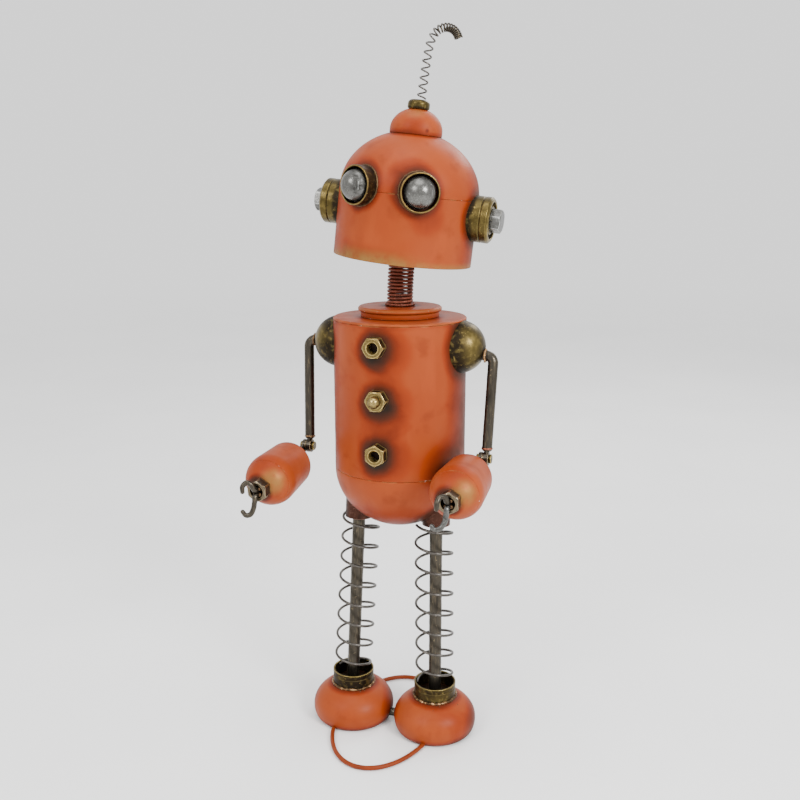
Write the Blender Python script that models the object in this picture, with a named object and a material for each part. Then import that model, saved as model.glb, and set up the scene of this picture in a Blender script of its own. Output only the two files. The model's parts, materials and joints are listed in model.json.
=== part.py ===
"""Decorative steel robot on sprung legs, with a bobbing head on a coil-spring neck.

Metres, +Z up. The robot faces -Y, its left side is +X, and it stands on z = 0.
Every sheet-metal shell, rod, spring, nut and ball is its own object.
"""

import math

import bmesh
import bpy
from mathutils import Euler, Matrix, Vector

MM = 0.001
GAP = 0.3 * MM                     # clearance that two touching pieces keep
SHEET = 1.2 * MM                   # wall of the pressed steel shells

# Torso
TORSO_R = 62 * MM
TORSO_SEAM_Z = 260 * MM            # where the bowl meets the tube
TORSO_TOP_Z = 400 * MM
BOWL_DEPTH = 58 * MM
LID_T = 2 * MM
NECK_DISC_R = 39 * MM
NECK_DISC_H = 9.4 * MM

# Three M12 nuts down the chest, the middle one with a ball in its bore
NUT_AF = 17.5 * MM
NUT_T = 9 * MM
NUT_BORE_R = 4.9 * MM
NUT_MOUTH = 0.35 * MM             # how far the bore widens at the face
CHEST_NUTS = (                     # name, height, turn about the torso's axis, spin about its own
    ("chest_nut_upper", 382.3 * MM, math.radians(-2.4), math.radians(30)),
    ("chest_nut_middle", 335.1 * MM, math.radians(-0.6), math.radians(30)),
    ("chest_nut_lower", 285.8 * MM, math.radians(-1.3), 0.0),
)
CHEST_BALL_R = 5.55 * MM

# Neck spring: one arc from the neck disc up into the head
NECK_COIL_R = 10.9 * MM            # centreline of the wire
NECK_WIRE_R = 1.35 * MM
NECK_PITCH = 3.0 * MM
NECK_LENGTH = 48.5 * MM
HEAD_LEAN = math.radians(6.5)        # the head rests leaning to the robot's left
NECK_BASE = Vector((0, 0, TORSO_TOP_Z + LID_T + NECK_DISC_H + 2 * GAP))

# Head, in its own frame: z = 0 is the underside of its floor
HEAD_R = 63.1 * MM
HEAD_RIM_Z = -6 * MM
HEAD_SEAM_Z = 53 * MM
HEAD_DOME_H = 54.2 * MM
KNOB_R = 23.6 * MM
KNOB_SIDE = 3.5 * MM
KNOB_H = 19.5 * MM
CAP_R = 10 * MM
CAP_H = 8 * MM
EYE_ANGLE = math.radians(24.4)     # each side of straight ahead
EYE_Z = 56.6 * MM
EYE_TUBE_R = 17 * MM
EYE_TUBE_WALL = 1.5 * MM
EYE_TUBE_OUT = 8.3 * MM            # how far the tube stands out of the head
EYE_BALL_R = 13.5 * MM
EAR_Z = 38.2 * MM
EAR_R = 20.4 * MM
EAR_W = 15.8 * MM
EAR_BOLT_AF = 19 * MM
EAR_BOLT_T = 9.2 * MM

# Antenna spring, in the head's frame
ANTENNA_COIL_R = 3.6 * MM
ANTENNA_WIRE_R = 0.75 * MM
ANTENNA_OPEN_TURNS = 8
ANTENNA_TIGHT_TURNS = 9
ANTENNA_SPLIT = 0.69               # share of its length where the open coil ends

# Arms. The two are bent by hand and differ a little.
SHOULDER = Vector((57.8 * MM, -4 * MM, 377 * MM))
SHOULDER_R = 24.5 * MM
ARM_X = 90 * MM
ARM_ROD_R = 4.8 * MM
ARM_TOE = math.radians(1.3)        # the rods lean in towards the body
ARM_BEND_R = 7 * MM
ARMS = {                           # exit below the dome's centre, slant forward, length to the elbow,
                                   # forearm centre from the rod, forearm drop below level
    "left": (7 * MM, math.radians(7.5), 94 * MM, 11.5 * MM, math.radians(1.5)),
    "right": (0.0, math.radians(5), 103.5 * MM, 12.8 * MM, math.radians(5)),
}
ELBOW_EYE_R = 6.5 * MM
ELBOW_EYE_T = 5 * MM
ELBOW_UP = 11.9 * MM               # elbow axis above the forearm's axis
ELBOW_BACK = 24.2 * MM             # and behind its widest rear ring
LUG_T = 4 * MM
FOREARM_REAR_R = 22.3 * MM
FOREARM_FRONT_R = 24.2 * MM
FOREARM_TUBE = 37 * MM
FOREARM_REAR_DEPTH = 14 * MM
FOREARM_SEAM = 10 * MM             # seam in front of the widest front ring
HAND_NUT_AF = 17.5 * MM
HAND_NUT_T = 9.5 * MM
CLAW_R = 2.4 * MM

# Legs and feet
HIP = Vector((39 * MM, -9 * MM, 205.5 * MM))
ANKLE = Vector((42.3 * MM, -20.6 * MM, 49.7 * MM))
LEG_R = 6.2 * MM
LEG_COIL_R = 17.6 * MM
LEG_WIRE_R = 1.25 * MM
LEG_TURNS = 7.75
LEG_STEPS = 9                      # straight lengths in each turn of a leg spring
SPRING_SHIFT = {                   # how far each spring hangs off its rod's axis, at the hip and the ankle
    "left": (-2.2 * MM, -0.3 * MM),
    "right": (2.4 * MM, -0.4 * MM),
}
HIP_CUP_R = 16 * MM
HIP_CUP_H = 38 * MM
COLLAR_R = 20.2 * MM
COLLAR_WALL = 1.5 * MM
FOOT_R = 40.1 * MM
FOOT_SOLE_R = 34.3 * MM
FOOT_WIDEST_Z = 12.5 * MM
FOOT_TOP_Z = 39 * MM
HOOP_WIRE_R = 2.1 * MM
HOOP = Vector((-4.2 * MM, -25.6 * MM))  # centre of the oval of wire on the floor
HOOP_HALF = (49.5 * MM, 84 * MM)

# The outline's middle is over the origin, so the torso's axis stands off it: the right arm reaches out
# further, and the hands reach forward
TORSO_AXIS = Vector((12.05 * MM, 31.95 * MM, 0))

SIDES = (("left", 1), ("right", -1))


def clear_scene():
    for obj in list(bpy.data.objects):
        bpy.data.objects.remove(obj, do_unlink=True)


def make_material(name, colour, metallic, roughness):
    material = bpy.data.materials.new(name)
    material.use_nodes = True
    shader = material.node_tree.nodes["Principled BSDF"]
    shader.inputs["Base Color"].default_value = (*colour, 1)
    shader.inputs["Metallic"].default_value = metallic
    shader.inputs["Roughness"].default_value = roughness
    return material


clear_scene()
ORANGE = make_material("orange_paint", (0.56, 0.12, 0.035), 0.25, 0.42)
BRASS = make_material("aged_brass", (0.20, 0.13, 0.045), 0.85, 0.4)
STEEL = make_material("bright_steel", (0.40, 0.39, 0.36), 0.95, 0.35)
DARK = make_material("dark_steel", (0.055, 0.045, 0.036), 0.8, 0.45)
COPPER = make_material("copper_spring", (0.23, 0.055, 0.025), 0.6, 0.4)


def frame(name, location, rotation=None, parent=None):
    """An empty that a group of pieces hangs from."""
    empty = bpy.data.objects.new(name, None)
    bpy.context.collection.objects.link(empty)
    empty.location = location
    empty.rotation_euler = rotation or Euler()
    empty.parent = parent
    return empty


def own_material(name, finish):
    """A piece's own material, copied from the finish that it shares with its like."""
    material = finish.copy()
    material.name = f"{name}_{finish.name}"
    return material


def add(name, mesh, finish, parent=None, place=None):
    obj = bpy.data.objects.new(name, mesh)
    bpy.context.collection.objects.link(obj)
    mesh.materials.append(own_material(name, finish))
    mesh.shade_smooth()
    mesh.set_sharp_from_angle(angle=math.radians(35))
    obj.parent = parent
    if place is not None:
        obj.matrix_basis = place
    return obj


def finish_mesh(name, bm):
    bmesh.ops.remove_doubles(bm, verts=bm.verts, dist=1e-6)
    bmesh.ops.recalc_face_normals(bm, faces=bm.faces)
    mesh = bpy.data.meshes.new(name)
    bm.to_mesh(mesh)
    bm.free()
    return mesh


def turned(name, profile, steps=28):
    """Mesh of a closed (radius, z) outline spun about Z. Points at radius 0 close on the axis."""
    bm = bmesh.new()
    verts = [bm.verts.new((r, 0, z)) for r, z in profile]
    edges = [
        bm.edges.new((a, b))
        for a, b in zip(verts, verts[1:] + verts[:1])
        if not (a.co.x == 0 and b.co.x == 0)
    ]
    bmesh.ops.spin(
        bm, geom=edges, cent=(0, 0, 0), axis=(0, 0, 1), angle=2 * math.pi, steps=steps, use_merge=True,
    )
    return finish_mesh(name, bm)


def arc(centre, radii, start, end, count):
    """Points of an elliptical arc in the (radius, z) plane; angles in degrees from the +radius direction."""
    points = []
    for i in range(count + 1):
        t = math.radians(start + (end - start) * i / count)
        points.append((centre[0] + radii[0] * math.cos(t), centre[1] + radii[1] * math.sin(t)))
    return points


def on_axis(points):
    """The same outline with radii under a micron put exactly on the axis."""
    return [(0.0 if abs(r) < 1e-6 else r, z) for r, z in points]


def prism(name, across_flats, thickness, spin=0.0):
    """Hexagonal prism along Z from z = 0."""
    bm = bmesh.new()
    radius = across_flats / math.sqrt(3)
    turn = Matrix.Rotation(spin, 4, "Z") @ Matrix.Translation((0, 0, thickness / 2))
    bmesh.ops.create_cone(
        bm, cap_ends=True, segments=6, radius1=radius, radius2=radius, depth=thickness, matrix=turn,
    )
    return finish_mesh(name, bm)


def cylinder(name, radius, start, end, segments=24):
    """Cylinder between two points."""
    start, end = Vector(start), Vector(end)
    bm = bmesh.new()
    turn = (end - start).to_track_quat("Z", "Y").to_matrix().to_4x4()
    bmesh.ops.create_cone(
        bm, cap_ends=True, segments=segments, radius1=radius, radius2=radius,
        depth=(end - start).length, matrix=Matrix.Translation((start + end) / 2) @ turn,
    )
    return finish_mesh(name, bm)


def combine(obj, mesh, operation="DIFFERENCE", place=None):
    """Cuts obj with a hidden helper, joins it on, or keeps what they share. place is in obj's own frame."""
    helper = bpy.data.objects.new(f"{obj.name}_{operation.lower()}_{len(obj.modifiers)}", mesh)
    bpy.context.collection.objects.link(helper)
    helper.parent = obj
    if place is not None:
        helper.matrix_basis = place
    helper.hide_render = True
    helper.display_type = "WIRE"
    modifier = obj.modifiers.new(operation.lower(), "BOOLEAN")
    modifier.object = helper
    modifier.operation = operation
    modifier.solver = "EXACT"
    return obj


def wire(name, points, radius, finish, sides=2, parent=None):
    """A round wire through the points, with closed ends."""
    curve = bpy.data.curves.new(name, "CURVE")
    curve.dimensions = "3D"
    curve.bevel_depth = radius
    curve.bevel_resolution = sides
    curve.use_fill_caps = True
    spline = curve.splines.new("POLY")
    spline.points.add(len(points) - 1)
    for point, co in zip(spline.points, points):
        point.co = (*co, 1)
    curve.materials.append(own_material(name, finish))
    obj = bpy.data.objects.new(name, curve)
    bpy.context.collection.objects.link(obj)
    obj.parent = parent
    return obj


def aim(location, direction, spin=0.0):
    """Places a piece modelled along +Z so that it points along direction."""
    turn = Vector(direction).to_track_quat("Z", "Y").to_matrix().to_4x4()
    return Matrix.Translation(location) @ turn @ Matrix.Rotation(spin, 4, "Z")


def hex_nut(name, finish, place, parent=None, across=NUT_AF, thickness=NUT_T, bore=NUT_BORE_R):
    """A chamfered hex nut along +Z from z = 0, with its bore open both ways."""
    nut = add(name, prism(name, across, thickness), finish, parent, place)
    corner = across / math.sqrt(3)
    chamfer = 1.1 * MM
    flat = corner - 1.9 * MM
    outline = [(bore, -MM), (corner + MM, -MM), (corner + MM, thickness - chamfer - 0.2 * MM)]
    outline += [(flat, thickness), (bore + NUT_MOUTH, thickness), (bore, thickness - 2 * NUT_MOUTH)]
    combine(nut, turned(name + "_envelope", outline, 12), "INTERSECT")
    return nut


# ---------------------------------------------------------------- torso

def build_torso():
    tube = add("torso_tube", turned("torso_tube", [
        (TORSO_R - SHEET, TORSO_SEAM_Z + GAP / 2), (TORSO_R, TORSO_SEAM_Z + GAP / 2),
        (TORSO_R, TORSO_TOP_Z), (TORSO_R - SHEET, TORSO_TOP_Z),
    ], 28), ORANGE)
    for name, side in SIDES:
        z = SHOULDER.z - ARMS[name][0]
        hole = cylinder("shoulder_hole", ARM_ROD_R + GAP, (side * (TORSO_R - 8 * MM), SHOULDER.y, z),
                        (side * (TORSO_R + 8 * MM), SHOULDER.y, z), 16)
        combine(tube, hole)
    centre = (0, TORSO_SEAM_Z - GAP / 2)
    outside = arc(centre, (TORSO_R, BOWL_DEPTH), 0, -90, 5)
    inside = arc(centre, (TORSO_R - SHEET, BOWL_DEPTH - SHEET), -90, 0, 5)
    add("torso_bowl", turned("torso_bowl", on_axis(outside + inside), 28), ORANGE)
    z = TORSO_TOP_Z + GAP
    add("torso_lid", turned("torso_lid", [
        (0, z), (TORSO_R, z), (TORSO_R, z + 0.9 * MM), (TORSO_R - 1.1 * MM, z + LID_T), (0, z + LID_T),
    ], 28), ORANGE)
    z += LID_T + GAP
    top = z + NECK_DISC_H
    skirt = NECK_DISC_R - 2.5 * MM
    inner = NECK_DISC_R - 4.5 * MM
    outline = [(0, z + 6.5 * MM), (inner, z + 6.5 * MM), (inner, z)]
    outline += [(skirt, z), (skirt, z + 4.4 * MM), (NECK_DISC_R, z + 6 * MM)]
    outline += [(NECK_DISC_R, top - 1.6 * MM), (NECK_DISC_R - 1.6 * MM, top), (0, top)]
    add("neck_disc", turned("neck_disc", outline, 24), ORANGE)


def build_chest():
    for name, z, turn, spin in CHEST_NUTS:
        facing = Vector((math.sin(turn), -math.cos(turn), 0))
        nut = hex_nut(name, BRASS, aim(facing * (TORSO_R - 0.9 * MM) + Vector((0, 0, z)), facing, spin),
                      thickness=NUT_T + 0.9 * MM)
        wall = cylinder("torso_wall", TORSO_R + GAP, (0, 0, z - 20 * MM), (0, 0, z + 20 * MM), 72)
        combine(nut, wall, "DIFFERENCE", nut.matrix_basis.inverted())
        if name == "chest_nut_middle":
            bm = bmesh.new()
            bmesh.ops.create_uvsphere(bm, u_segments=14, v_segments=8, radius=CHEST_BALL_R)
            seat = math.sqrt(CHEST_BALL_R**2 - (NUT_BORE_R + NUT_MOUTH) ** 2) + GAP
            place = Matrix.Translation(facing * (TORSO_R + NUT_T + seat) + Vector((0, 0, z)))
            add("chest_ball", finish_mesh("chest_ball", bm), BRASS, None, place)


# ---------------------------------------------------------------- neck

NECK_RADIUS = NECK_LENGTH / HEAD_LEAN  # of the arc that the neck's centreline follows


def neck_frame(s):
    """Matrix of the neck's centreline at length s above the neck disc."""
    angle = s / NECK_RADIUS
    centre = NECK_BASE + Vector((NECK_RADIUS * (1 - math.cos(angle)), 0, NECK_RADIUS * math.sin(angle)))
    return Matrix.Translation(centre) @ Matrix.Rotation(angle, 4, "Y")


def coil_points(turns, per_turn, place, radius, start=0.0, hand=1):
    """Points along a helix. place(share) gives the centreline's matrix at that share of the helix."""
    count = max(2, round(turns * per_turn))
    points = []
    for i in range(count + 1):
        share = i / count
        turn = start + hand * 2 * math.pi * turns * share
        points.append(place(share) @ Vector((radius * math.cos(turn), radius * math.sin(turn), 0)))
    return points


def build_neck():
    """The neck spring is one wire on the real object. Here each length between bends is a piece."""
    z0 = NECK_WIRE_R + GAP
    z1 = NECK_LENGTH - NECK_WIRE_R - GAP
    section = (z1 - z0) / 3
    join = NECK_WIRE_R + GAP / 2
    for i, name in enumerate(("neck_spring_lower", "neck_spring_middle", "neck_spring_upper")):
        low = z0 + section * i + (join if i > 0 else 0)
        high = z0 + section * (i + 1) - (join if i < 2 else 0)
        turns = (high - low) / NECK_PITCH
        points = coil_points(turns, 8, lambda t: neck_frame(low + (high - low) * t), NECK_COIL_R)
        wire(name, points, NECK_WIRE_R, COPPER, 0)
    inner = NECK_COIL_R - NECK_WIRE_R - 1.2 * MM
    base = NECK_BASE.z + GAP
    add("neck_plug_lower", turned("neck_plug_lower", [
        (0, base), (inner, base), (inner, base + 9 * MM), (inner - 1.5 * MM, base + 10 * MM),
        (0, base + 10 * MM),
    ], 16), DARK)


# ---------------------------------------------------------------- head

def build_head():
    skull = frame("head_frame", neck_frame(NECK_LENGTH).translation, Euler((0, HEAD_LEAN, 0)))
    inner = HEAD_R - SHEET
    band = add("head_band", turned("head_band", [
        (inner, HEAD_RIM_Z), (HEAD_R - 0.3 * MM, HEAD_RIM_Z), (HEAD_R, HEAD_RIM_Z + 0.6 * MM),
        (HEAD_R, HEAD_SEAM_Z - GAP / 2), (inner, HEAD_SEAM_Z - GAP / 2),
    ], 28), ORANGE, skull)
    for _, side in SIDES:
        wall = Vector((side * HEAD_R, 0, EAR_Z))
        through = Vector((8 * MM, 0, 0))
        hole = cylinder("ear_hole", 4 * MM, wall - through, wall + through, 12)
        combine(band, hole)
    centre = (0, HEAD_SEAM_Z + GAP / 2)
    outside = arc(centre, (HEAD_R, HEAD_DOME_H), 0, 90, 5)
    inside = arc(centre, (inner, HEAD_DOME_H - SHEET), 90, 0, 5)
    add("head_dome", turned("head_dome", on_axis(outside + inside), 28), ORANGE, skull)
    floor_r = inner - GAP
    plug_r = NECK_COIL_R - NECK_WIRE_R - 1.2 * MM
    add("head_floor", turned("head_floor", [
        (plug_r + GAP, 0), (floor_r, 0), (floor_r, 2 * MM), (plug_r + GAP, 2 * MM),
    ], 28), ORANGE, skull)
    add("neck_plug_upper", turned("neck_plug_upper", [
        (0, -9 * MM), (plug_r - MM, -9 * MM), (plug_r, -8 * MM), (plug_r, 2 * MM + GAP),
        (plug_r + 6 * MM, 2 * MM + GAP), (plug_r + 6 * MM, 7 * MM), (0, 7 * MM),
    ], 16), DARK, skull)
    return skull


def dome_height(radius):
    """Height of the head dome's outside at a radius from its axis."""
    return HEAD_SEAM_Z + GAP / 2 + HEAD_DOME_H * math.sqrt(max(0.0, 1 - (radius / HEAD_R) ** 2))


def build_topknot(skull):
    """The small dome on the crown, and the ferrule that grips the antenna. Gives the ferrule's top."""
    wall = 1.2 * MM
    foot = dome_height(KNOB_R) + GAP
    centre = (0, foot + KNOB_SIDE)
    outside = [(KNOB_R, foot)] + arc(centre, (KNOB_R, KNOB_H), 0, 68, 4)
    inside = arc(centre, (KNOB_R - wall, KNOB_H - wall), 66, 0, 3)
    top = outside[-1][1]
    outline = outside + [(4 * MM, top), (4 * MM, top - wall)] + inside
    outline += [(KNOB_R - wall, dome_height(KNOB_R - wall) + 2 * GAP)]
    add("head_knob", turned("head_knob", outline, 18), ORANGE, skull)
    z = top + GAP
    add("antenna_cap", turned("antenna_cap", [
        (0, z), (CAP_R - 0.6 * MM, z), (CAP_R, z + MM), (CAP_R, z + CAP_H - 2 * MM),
        (CAP_R - 2 * MM, z + CAP_H), (0, z + CAP_H),
    ], 24), BRASS, skull)
    return z + CAP_H


def head_solid():
    """What the head fills, with the gap that its neighbours keep: cuts them to its curve."""
    wall = HEAD_R + GAP
    low = EAR_Z - 30 * MM
    dome = arc((0, HEAD_SEAM_Z), (wall, HEAD_DOME_H + GAP), 0, 60, 8)
    return turned("head_solid", [(0, low), (wall, low)] + dome + [(0, dome[-1][1])], 64)


def build_eyes(skull):
    rear = HEAD_R - 4 * MM
    length = EYE_TUBE_OUT + 4 * MM
    bore = EYE_TUBE_R - EYE_TUBE_WALL
    ball_at = length - 3.6 * MM
    for name, side in SIDES:
        out = Vector((side * math.sin(EYE_ANGLE), -math.cos(EYE_ANGLE), 0))
        place = aim(out * rear + Vector((0, 0, EYE_Z)), out)
        seat = math.sqrt((EYE_BALL_R + GAP) ** 2 - (bore - 3 * MM) ** 2)
        tube = add(f"eye_tube_{name}", turned(f"eye_tube_{name}", [
            (bore - 3 * MM, -3 * MM), (EYE_TUBE_R, -3 * MM), (EYE_TUBE_R, length), (bore, length),
            (bore, ball_at - seat), (bore - 3 * MM, ball_at - seat),
        ], 20), BRASS, skull, place)
        combine(tube, head_solid(), "DIFFERENCE", place.inverted())
        bm = bmesh.new()
        bmesh.ops.create_uvsphere(bm, u_segments=18, v_segments=10, radius=EYE_BALL_R)
        ball = add(f"eye_ball_{name}", finish_mesh(f"eye_ball_{name}", bm), STEEL, skull,
                   place @ Matrix.Translation((0, 0, ball_at)))
        combine(ball, head_solid(), "DIFFERENCE", ball.matrix_basis.inverted())


def build_ears(skull):
    for name, side in SIDES:
        out = Vector((side, 0, 0))
        start = HEAD_R - 5 * MM
        width = EAR_W + 5 * MM
        place = aim(out * start + Vector((0, 0, EAR_Z)), out)
        groove = 0.8 * MM
        middle = width - EAR_W / 2
        drum = add(f"ear_drum_{name}", turned(f"ear_drum_{name}", [
            (4.3 * MM, 0), (EAR_R, 0), (EAR_R, middle - groove), (EAR_R - groove, middle),
            (EAR_R, middle + groove),
            (EAR_R, width - 2 * MM), (EAR_R - 2.2 * MM, width), (EAR_R - 4 * MM, width),
            (EAR_R - 4.6 * MM, width - 3 * MM), (EAR_R - 7.6 * MM, width - 3 * MM),
            (EAR_R - 8 * MM, width - 0.8 * MM), (4.3 * MM, width - 0.8 * MM),
        ], 18), BRASS, skull, place)
        combine(drum, head_solid(), "DIFFERENCE", place.inverted())
        seat = width - 0.8 * MM + GAP
        hexagon = prism(f"ear_bolt_{name}", EAR_BOLT_AF, EAR_BOLT_T, math.radians(10))
        bolt = add(f"ear_bolt_{name}", hexagon, STEEL, skull, place @ Matrix.Translation((0, 0, seat)))
        corner = EAR_BOLT_AF / math.sqrt(3)
        combine(bolt, turned("bolt_envelope", [
            (0, -MM), (corner + MM, -MM), (corner + MM, EAR_BOLT_T - 1.8 * MM),
            (corner - 3 * MM, EAR_BOLT_T), (0, EAR_BOLT_T),
        ], 18), "INTERSECT")
        shank = cylinder("bolt_shank", 3.7 * MM, (0, 0, 0.5 * MM), (0, 0, -(seat + 4 * MM)), 12)
        combine(bolt, shank, "UNION")


# The antenna's centreline in the head's frame, from the top of its ferrule: sideways and upwards
ANTENNA_PATH = [(x * MM, z * MM) for x, z in (
    (1.8, 0), (1.7, 4), (2, 12), (2.3, 20), (2.6, 28), (3.1, 37), (4.2, 46), (6.2, 52), (9.2, 56.4),
    (13.4, 59), (18.2, 59.9), (22.8, 58.7), (26.6, 55.8), (29, 51.8),
)]


def along_path(path, share):
    """Matrix of the antenna's centreline at a share of its length, with z along the wire's run."""
    lengths = [math.dist(a, b) for a, b in zip(path, path[1:])]
    s = share * sum(lengths)
    i = 0
    while i < len(lengths) - 1 and s > lengths[i]:
        s -= lengths[i]
        i += 1
    t = s / lengths[i]
    point = [a + (b - a) * t for a, b in zip(path[i], path[i + 1])]
    turns = [math.atan2(b[0] - a[0], b[1] - a[1]) for a, b in zip(path, path[1:])]
    before = turns[max(i - 1, 0)]
    after = turns[min(i + 1, len(turns) - 1)]
    angle = (before + turns[i]) / 2 * (1 - t) + (turns[i] + after) / 2 * t
    return Matrix.Translation((point[0], 0, point[1])) @ Matrix.Rotation(angle, 4, "Y")


def build_antenna(skull, base):
    """One wire on the real object: an open coil, then a close-wound tip beyond the bending point."""
    lift = Matrix.Translation((0, 0, base + ANTENNA_WIRE_R + GAP))
    rest = 0.012                       # share left open on each side of the split

    def lower(share):
        return lift @ along_path(ANTENNA_PATH, share * (ANTENNA_SPLIT - rest))

    def upper(share):
        start = ANTENNA_SPLIT + rest
        return lift @ along_path(ANTENNA_PATH, start + share * (1 - start))

    open_coil = coil_points(ANTENNA_OPEN_TURNS, 7, lower, ANTENNA_COIL_R, hand=-1)
    wire("antenna_spring", open_coil, ANTENNA_WIRE_R, DARK, 0, skull)
    tight_coil = coil_points(ANTENNA_TIGHT_TURNS, 6, upper, ANTENNA_COIL_R * 0.86, 1.2, -1)
    wire("antenna_tip", tight_coil, ANTENNA_WIRE_R, DARK, 0, skull)


# ---------------------------------------------------------------- arms

def build_shoulder(name, side):
    out = Vector((side, 0, 0))
    place = aim(Vector((side * SHOULDER.x, SHOULDER.y, SHOULDER.z)), out)
    inner_r = SHOULDER_R - 1.5 * MM
    outline = arc((0, 0), (SHOULDER_R, SHOULDER_R), -14, 90, 5)
    outline += arc((0, 0), (inner_r, inner_r), 90, -14, 3)
    shell = turned(f"shoulder_dome_{name}", on_axis(outline), 18)
    dome = add(f"shoulder_dome_{name}", shell, BRASS, None, place)
    wall_start = (0, 0, SHOULDER.z - 40 * MM)
    wall = cylinder("torso_wall", TORSO_R + GAP, wall_start, (0, 0, SHOULDER.z + 40 * MM), 64)
    combine(dome, wall, "DIFFERENCE", place.inverted())
    z = SHOULDER.z - ARMS[name][0]
    hole = cylinder("rod_hole", ARM_ROD_R + GAP, (side * (SHOULDER.x + 10 * MM), SHOULDER.y, z),
                    (side * (SHOULDER.x + 40 * MM), SHOULDER.y, z), 16)
    combine(dome, hole, "DIFFERENCE", place.inverted())


def wire_mesh(name, points, radius, sides):
    """The mesh of a round wire, for pieces that are joined or cut."""
    source = wire(name, points, radius, DARK, sides)
    graph = bpy.context.evaluated_depsgraph_get()
    mesh = bpy.data.meshes.new_from_object(source.evaluated_get(graph))
    bpy.data.objects.remove(source)
    bm = bmesh.new()
    bm.from_mesh(mesh)
    mesh = finish_mesh(name, bm)
    mesh.materials.clear()
    return mesh


def build_arm(name, side):
    exit_drop, slant, length, offset, drop = ARMS[name]
    out = Vector((side, 0, 0))
    shoulder = Vector((side * SHOULDER.x, SHOULDER.y, SHOULDER.z - exit_drop))
    swing = frame(f"arm_frame_{name}", shoulder, Euler((-slant, 0, 0)))
    corner = out * (ARM_X - SHOULDER.x)
    down = Vector((-side * math.sin(ARM_TOE), 0, -math.cos(ARM_TOE)))
    points = [out * (TORSO_R - 12 * MM - SHOULDER.x)]
    for i in range(6):
        t = math.radians(90) * i / 5
        inward = out * ARM_BEND_R * (1 - math.sin(t))
        points.append(corner - inward + down * ARM_BEND_R * (1 - math.cos(t)))
    elbow = corner + down * length
    points.append(elbow - down * (ELBOW_EYE_R + 0.4 * MM))
    rod = add(f"arm_rod_{name}", wire_mesh(f"arm_rod_{name}", points, ARM_ROD_R, 2), DARK, swing)
    half = ELBOW_EYE_T / 2
    bm = bmesh.new()
    size = Matrix.Diagonal((ELBOW_EYE_T, 9 * MM, 10 * MM, 1))
    bmesh.ops.create_cube(bm, size=1, matrix=Matrix.Translation(elbow - down * 5 * MM) @ size)
    combine(rod, finish_mesh("elbow_tab", bm), "UNION")
    combine(rod, cylinder("elbow_eye", ELBOW_EYE_R, elbow - out * half, elbow + out * half, 24), "UNION")
    pin_r = 2.5 * MM
    combine(rod, cylinder("elbow_hole", pin_r + GAP / 2, elbow - out * 12 * MM, elbow + out * 12 * MM, 16))
    nut_at = out * (TORSO_R - 9.8 * MM - SHOULDER.x)
    nut_mesh = prism(f"shoulder_nut_{name}", 16 * MM, 6.5 * MM)
    nut = add(f"shoulder_nut_{name}", nut_mesh, DARK, swing, aim(nut_at, out))
    combine(nut, cylinder("nut_bore", ARM_ROD_R + GAP, (0, 0, -MM), (0, 0, 8 * MM), 16))

    # Elbow: the rod's eye and a lug on the forearm share one pin, the lug to the robot's right
    lug_at = Vector((-(half + GAP + LUG_T / 2), 0, 0))
    reach = Vector((half + GAP, 0, 0))
    pin_start = elbow + 2 * lug_at + reach - Vector((1.5 * MM, 0, 0))
    pin_end = elbow + reach + Vector((0.5 * MM, 0, 0))
    pin_mesh = cylinder(f"elbow_pin_{name}", pin_r, pin_start, pin_end, 16)
    pin = add(f"elbow_pin_{name}", pin_mesh, BRASS, swing)
    head_end = elbow + reach + Vector((2.2 * MM, 0, 0))
    combine(pin, cylinder("pin_head", 4.4 * MM, elbow + reach, head_end, 16), "UNION")
    tail = elbow + lug_at - Vector((LUG_T / 2 + GAP, 0, 0))
    combine(pin, cylinder("pin_tail", 4 * MM, tail, tail - Vector((2 * MM, 0, 0)), 16), "UNION")
    fore = frame(f"forearm_frame_{name}", elbow, Euler((math.radians(90) + drop + slant, 0, 0)), swing)
    build_forearm(name, fore, Vector((-offset, -ELBOW_UP, ELBOW_BACK)), lug_at)


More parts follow.
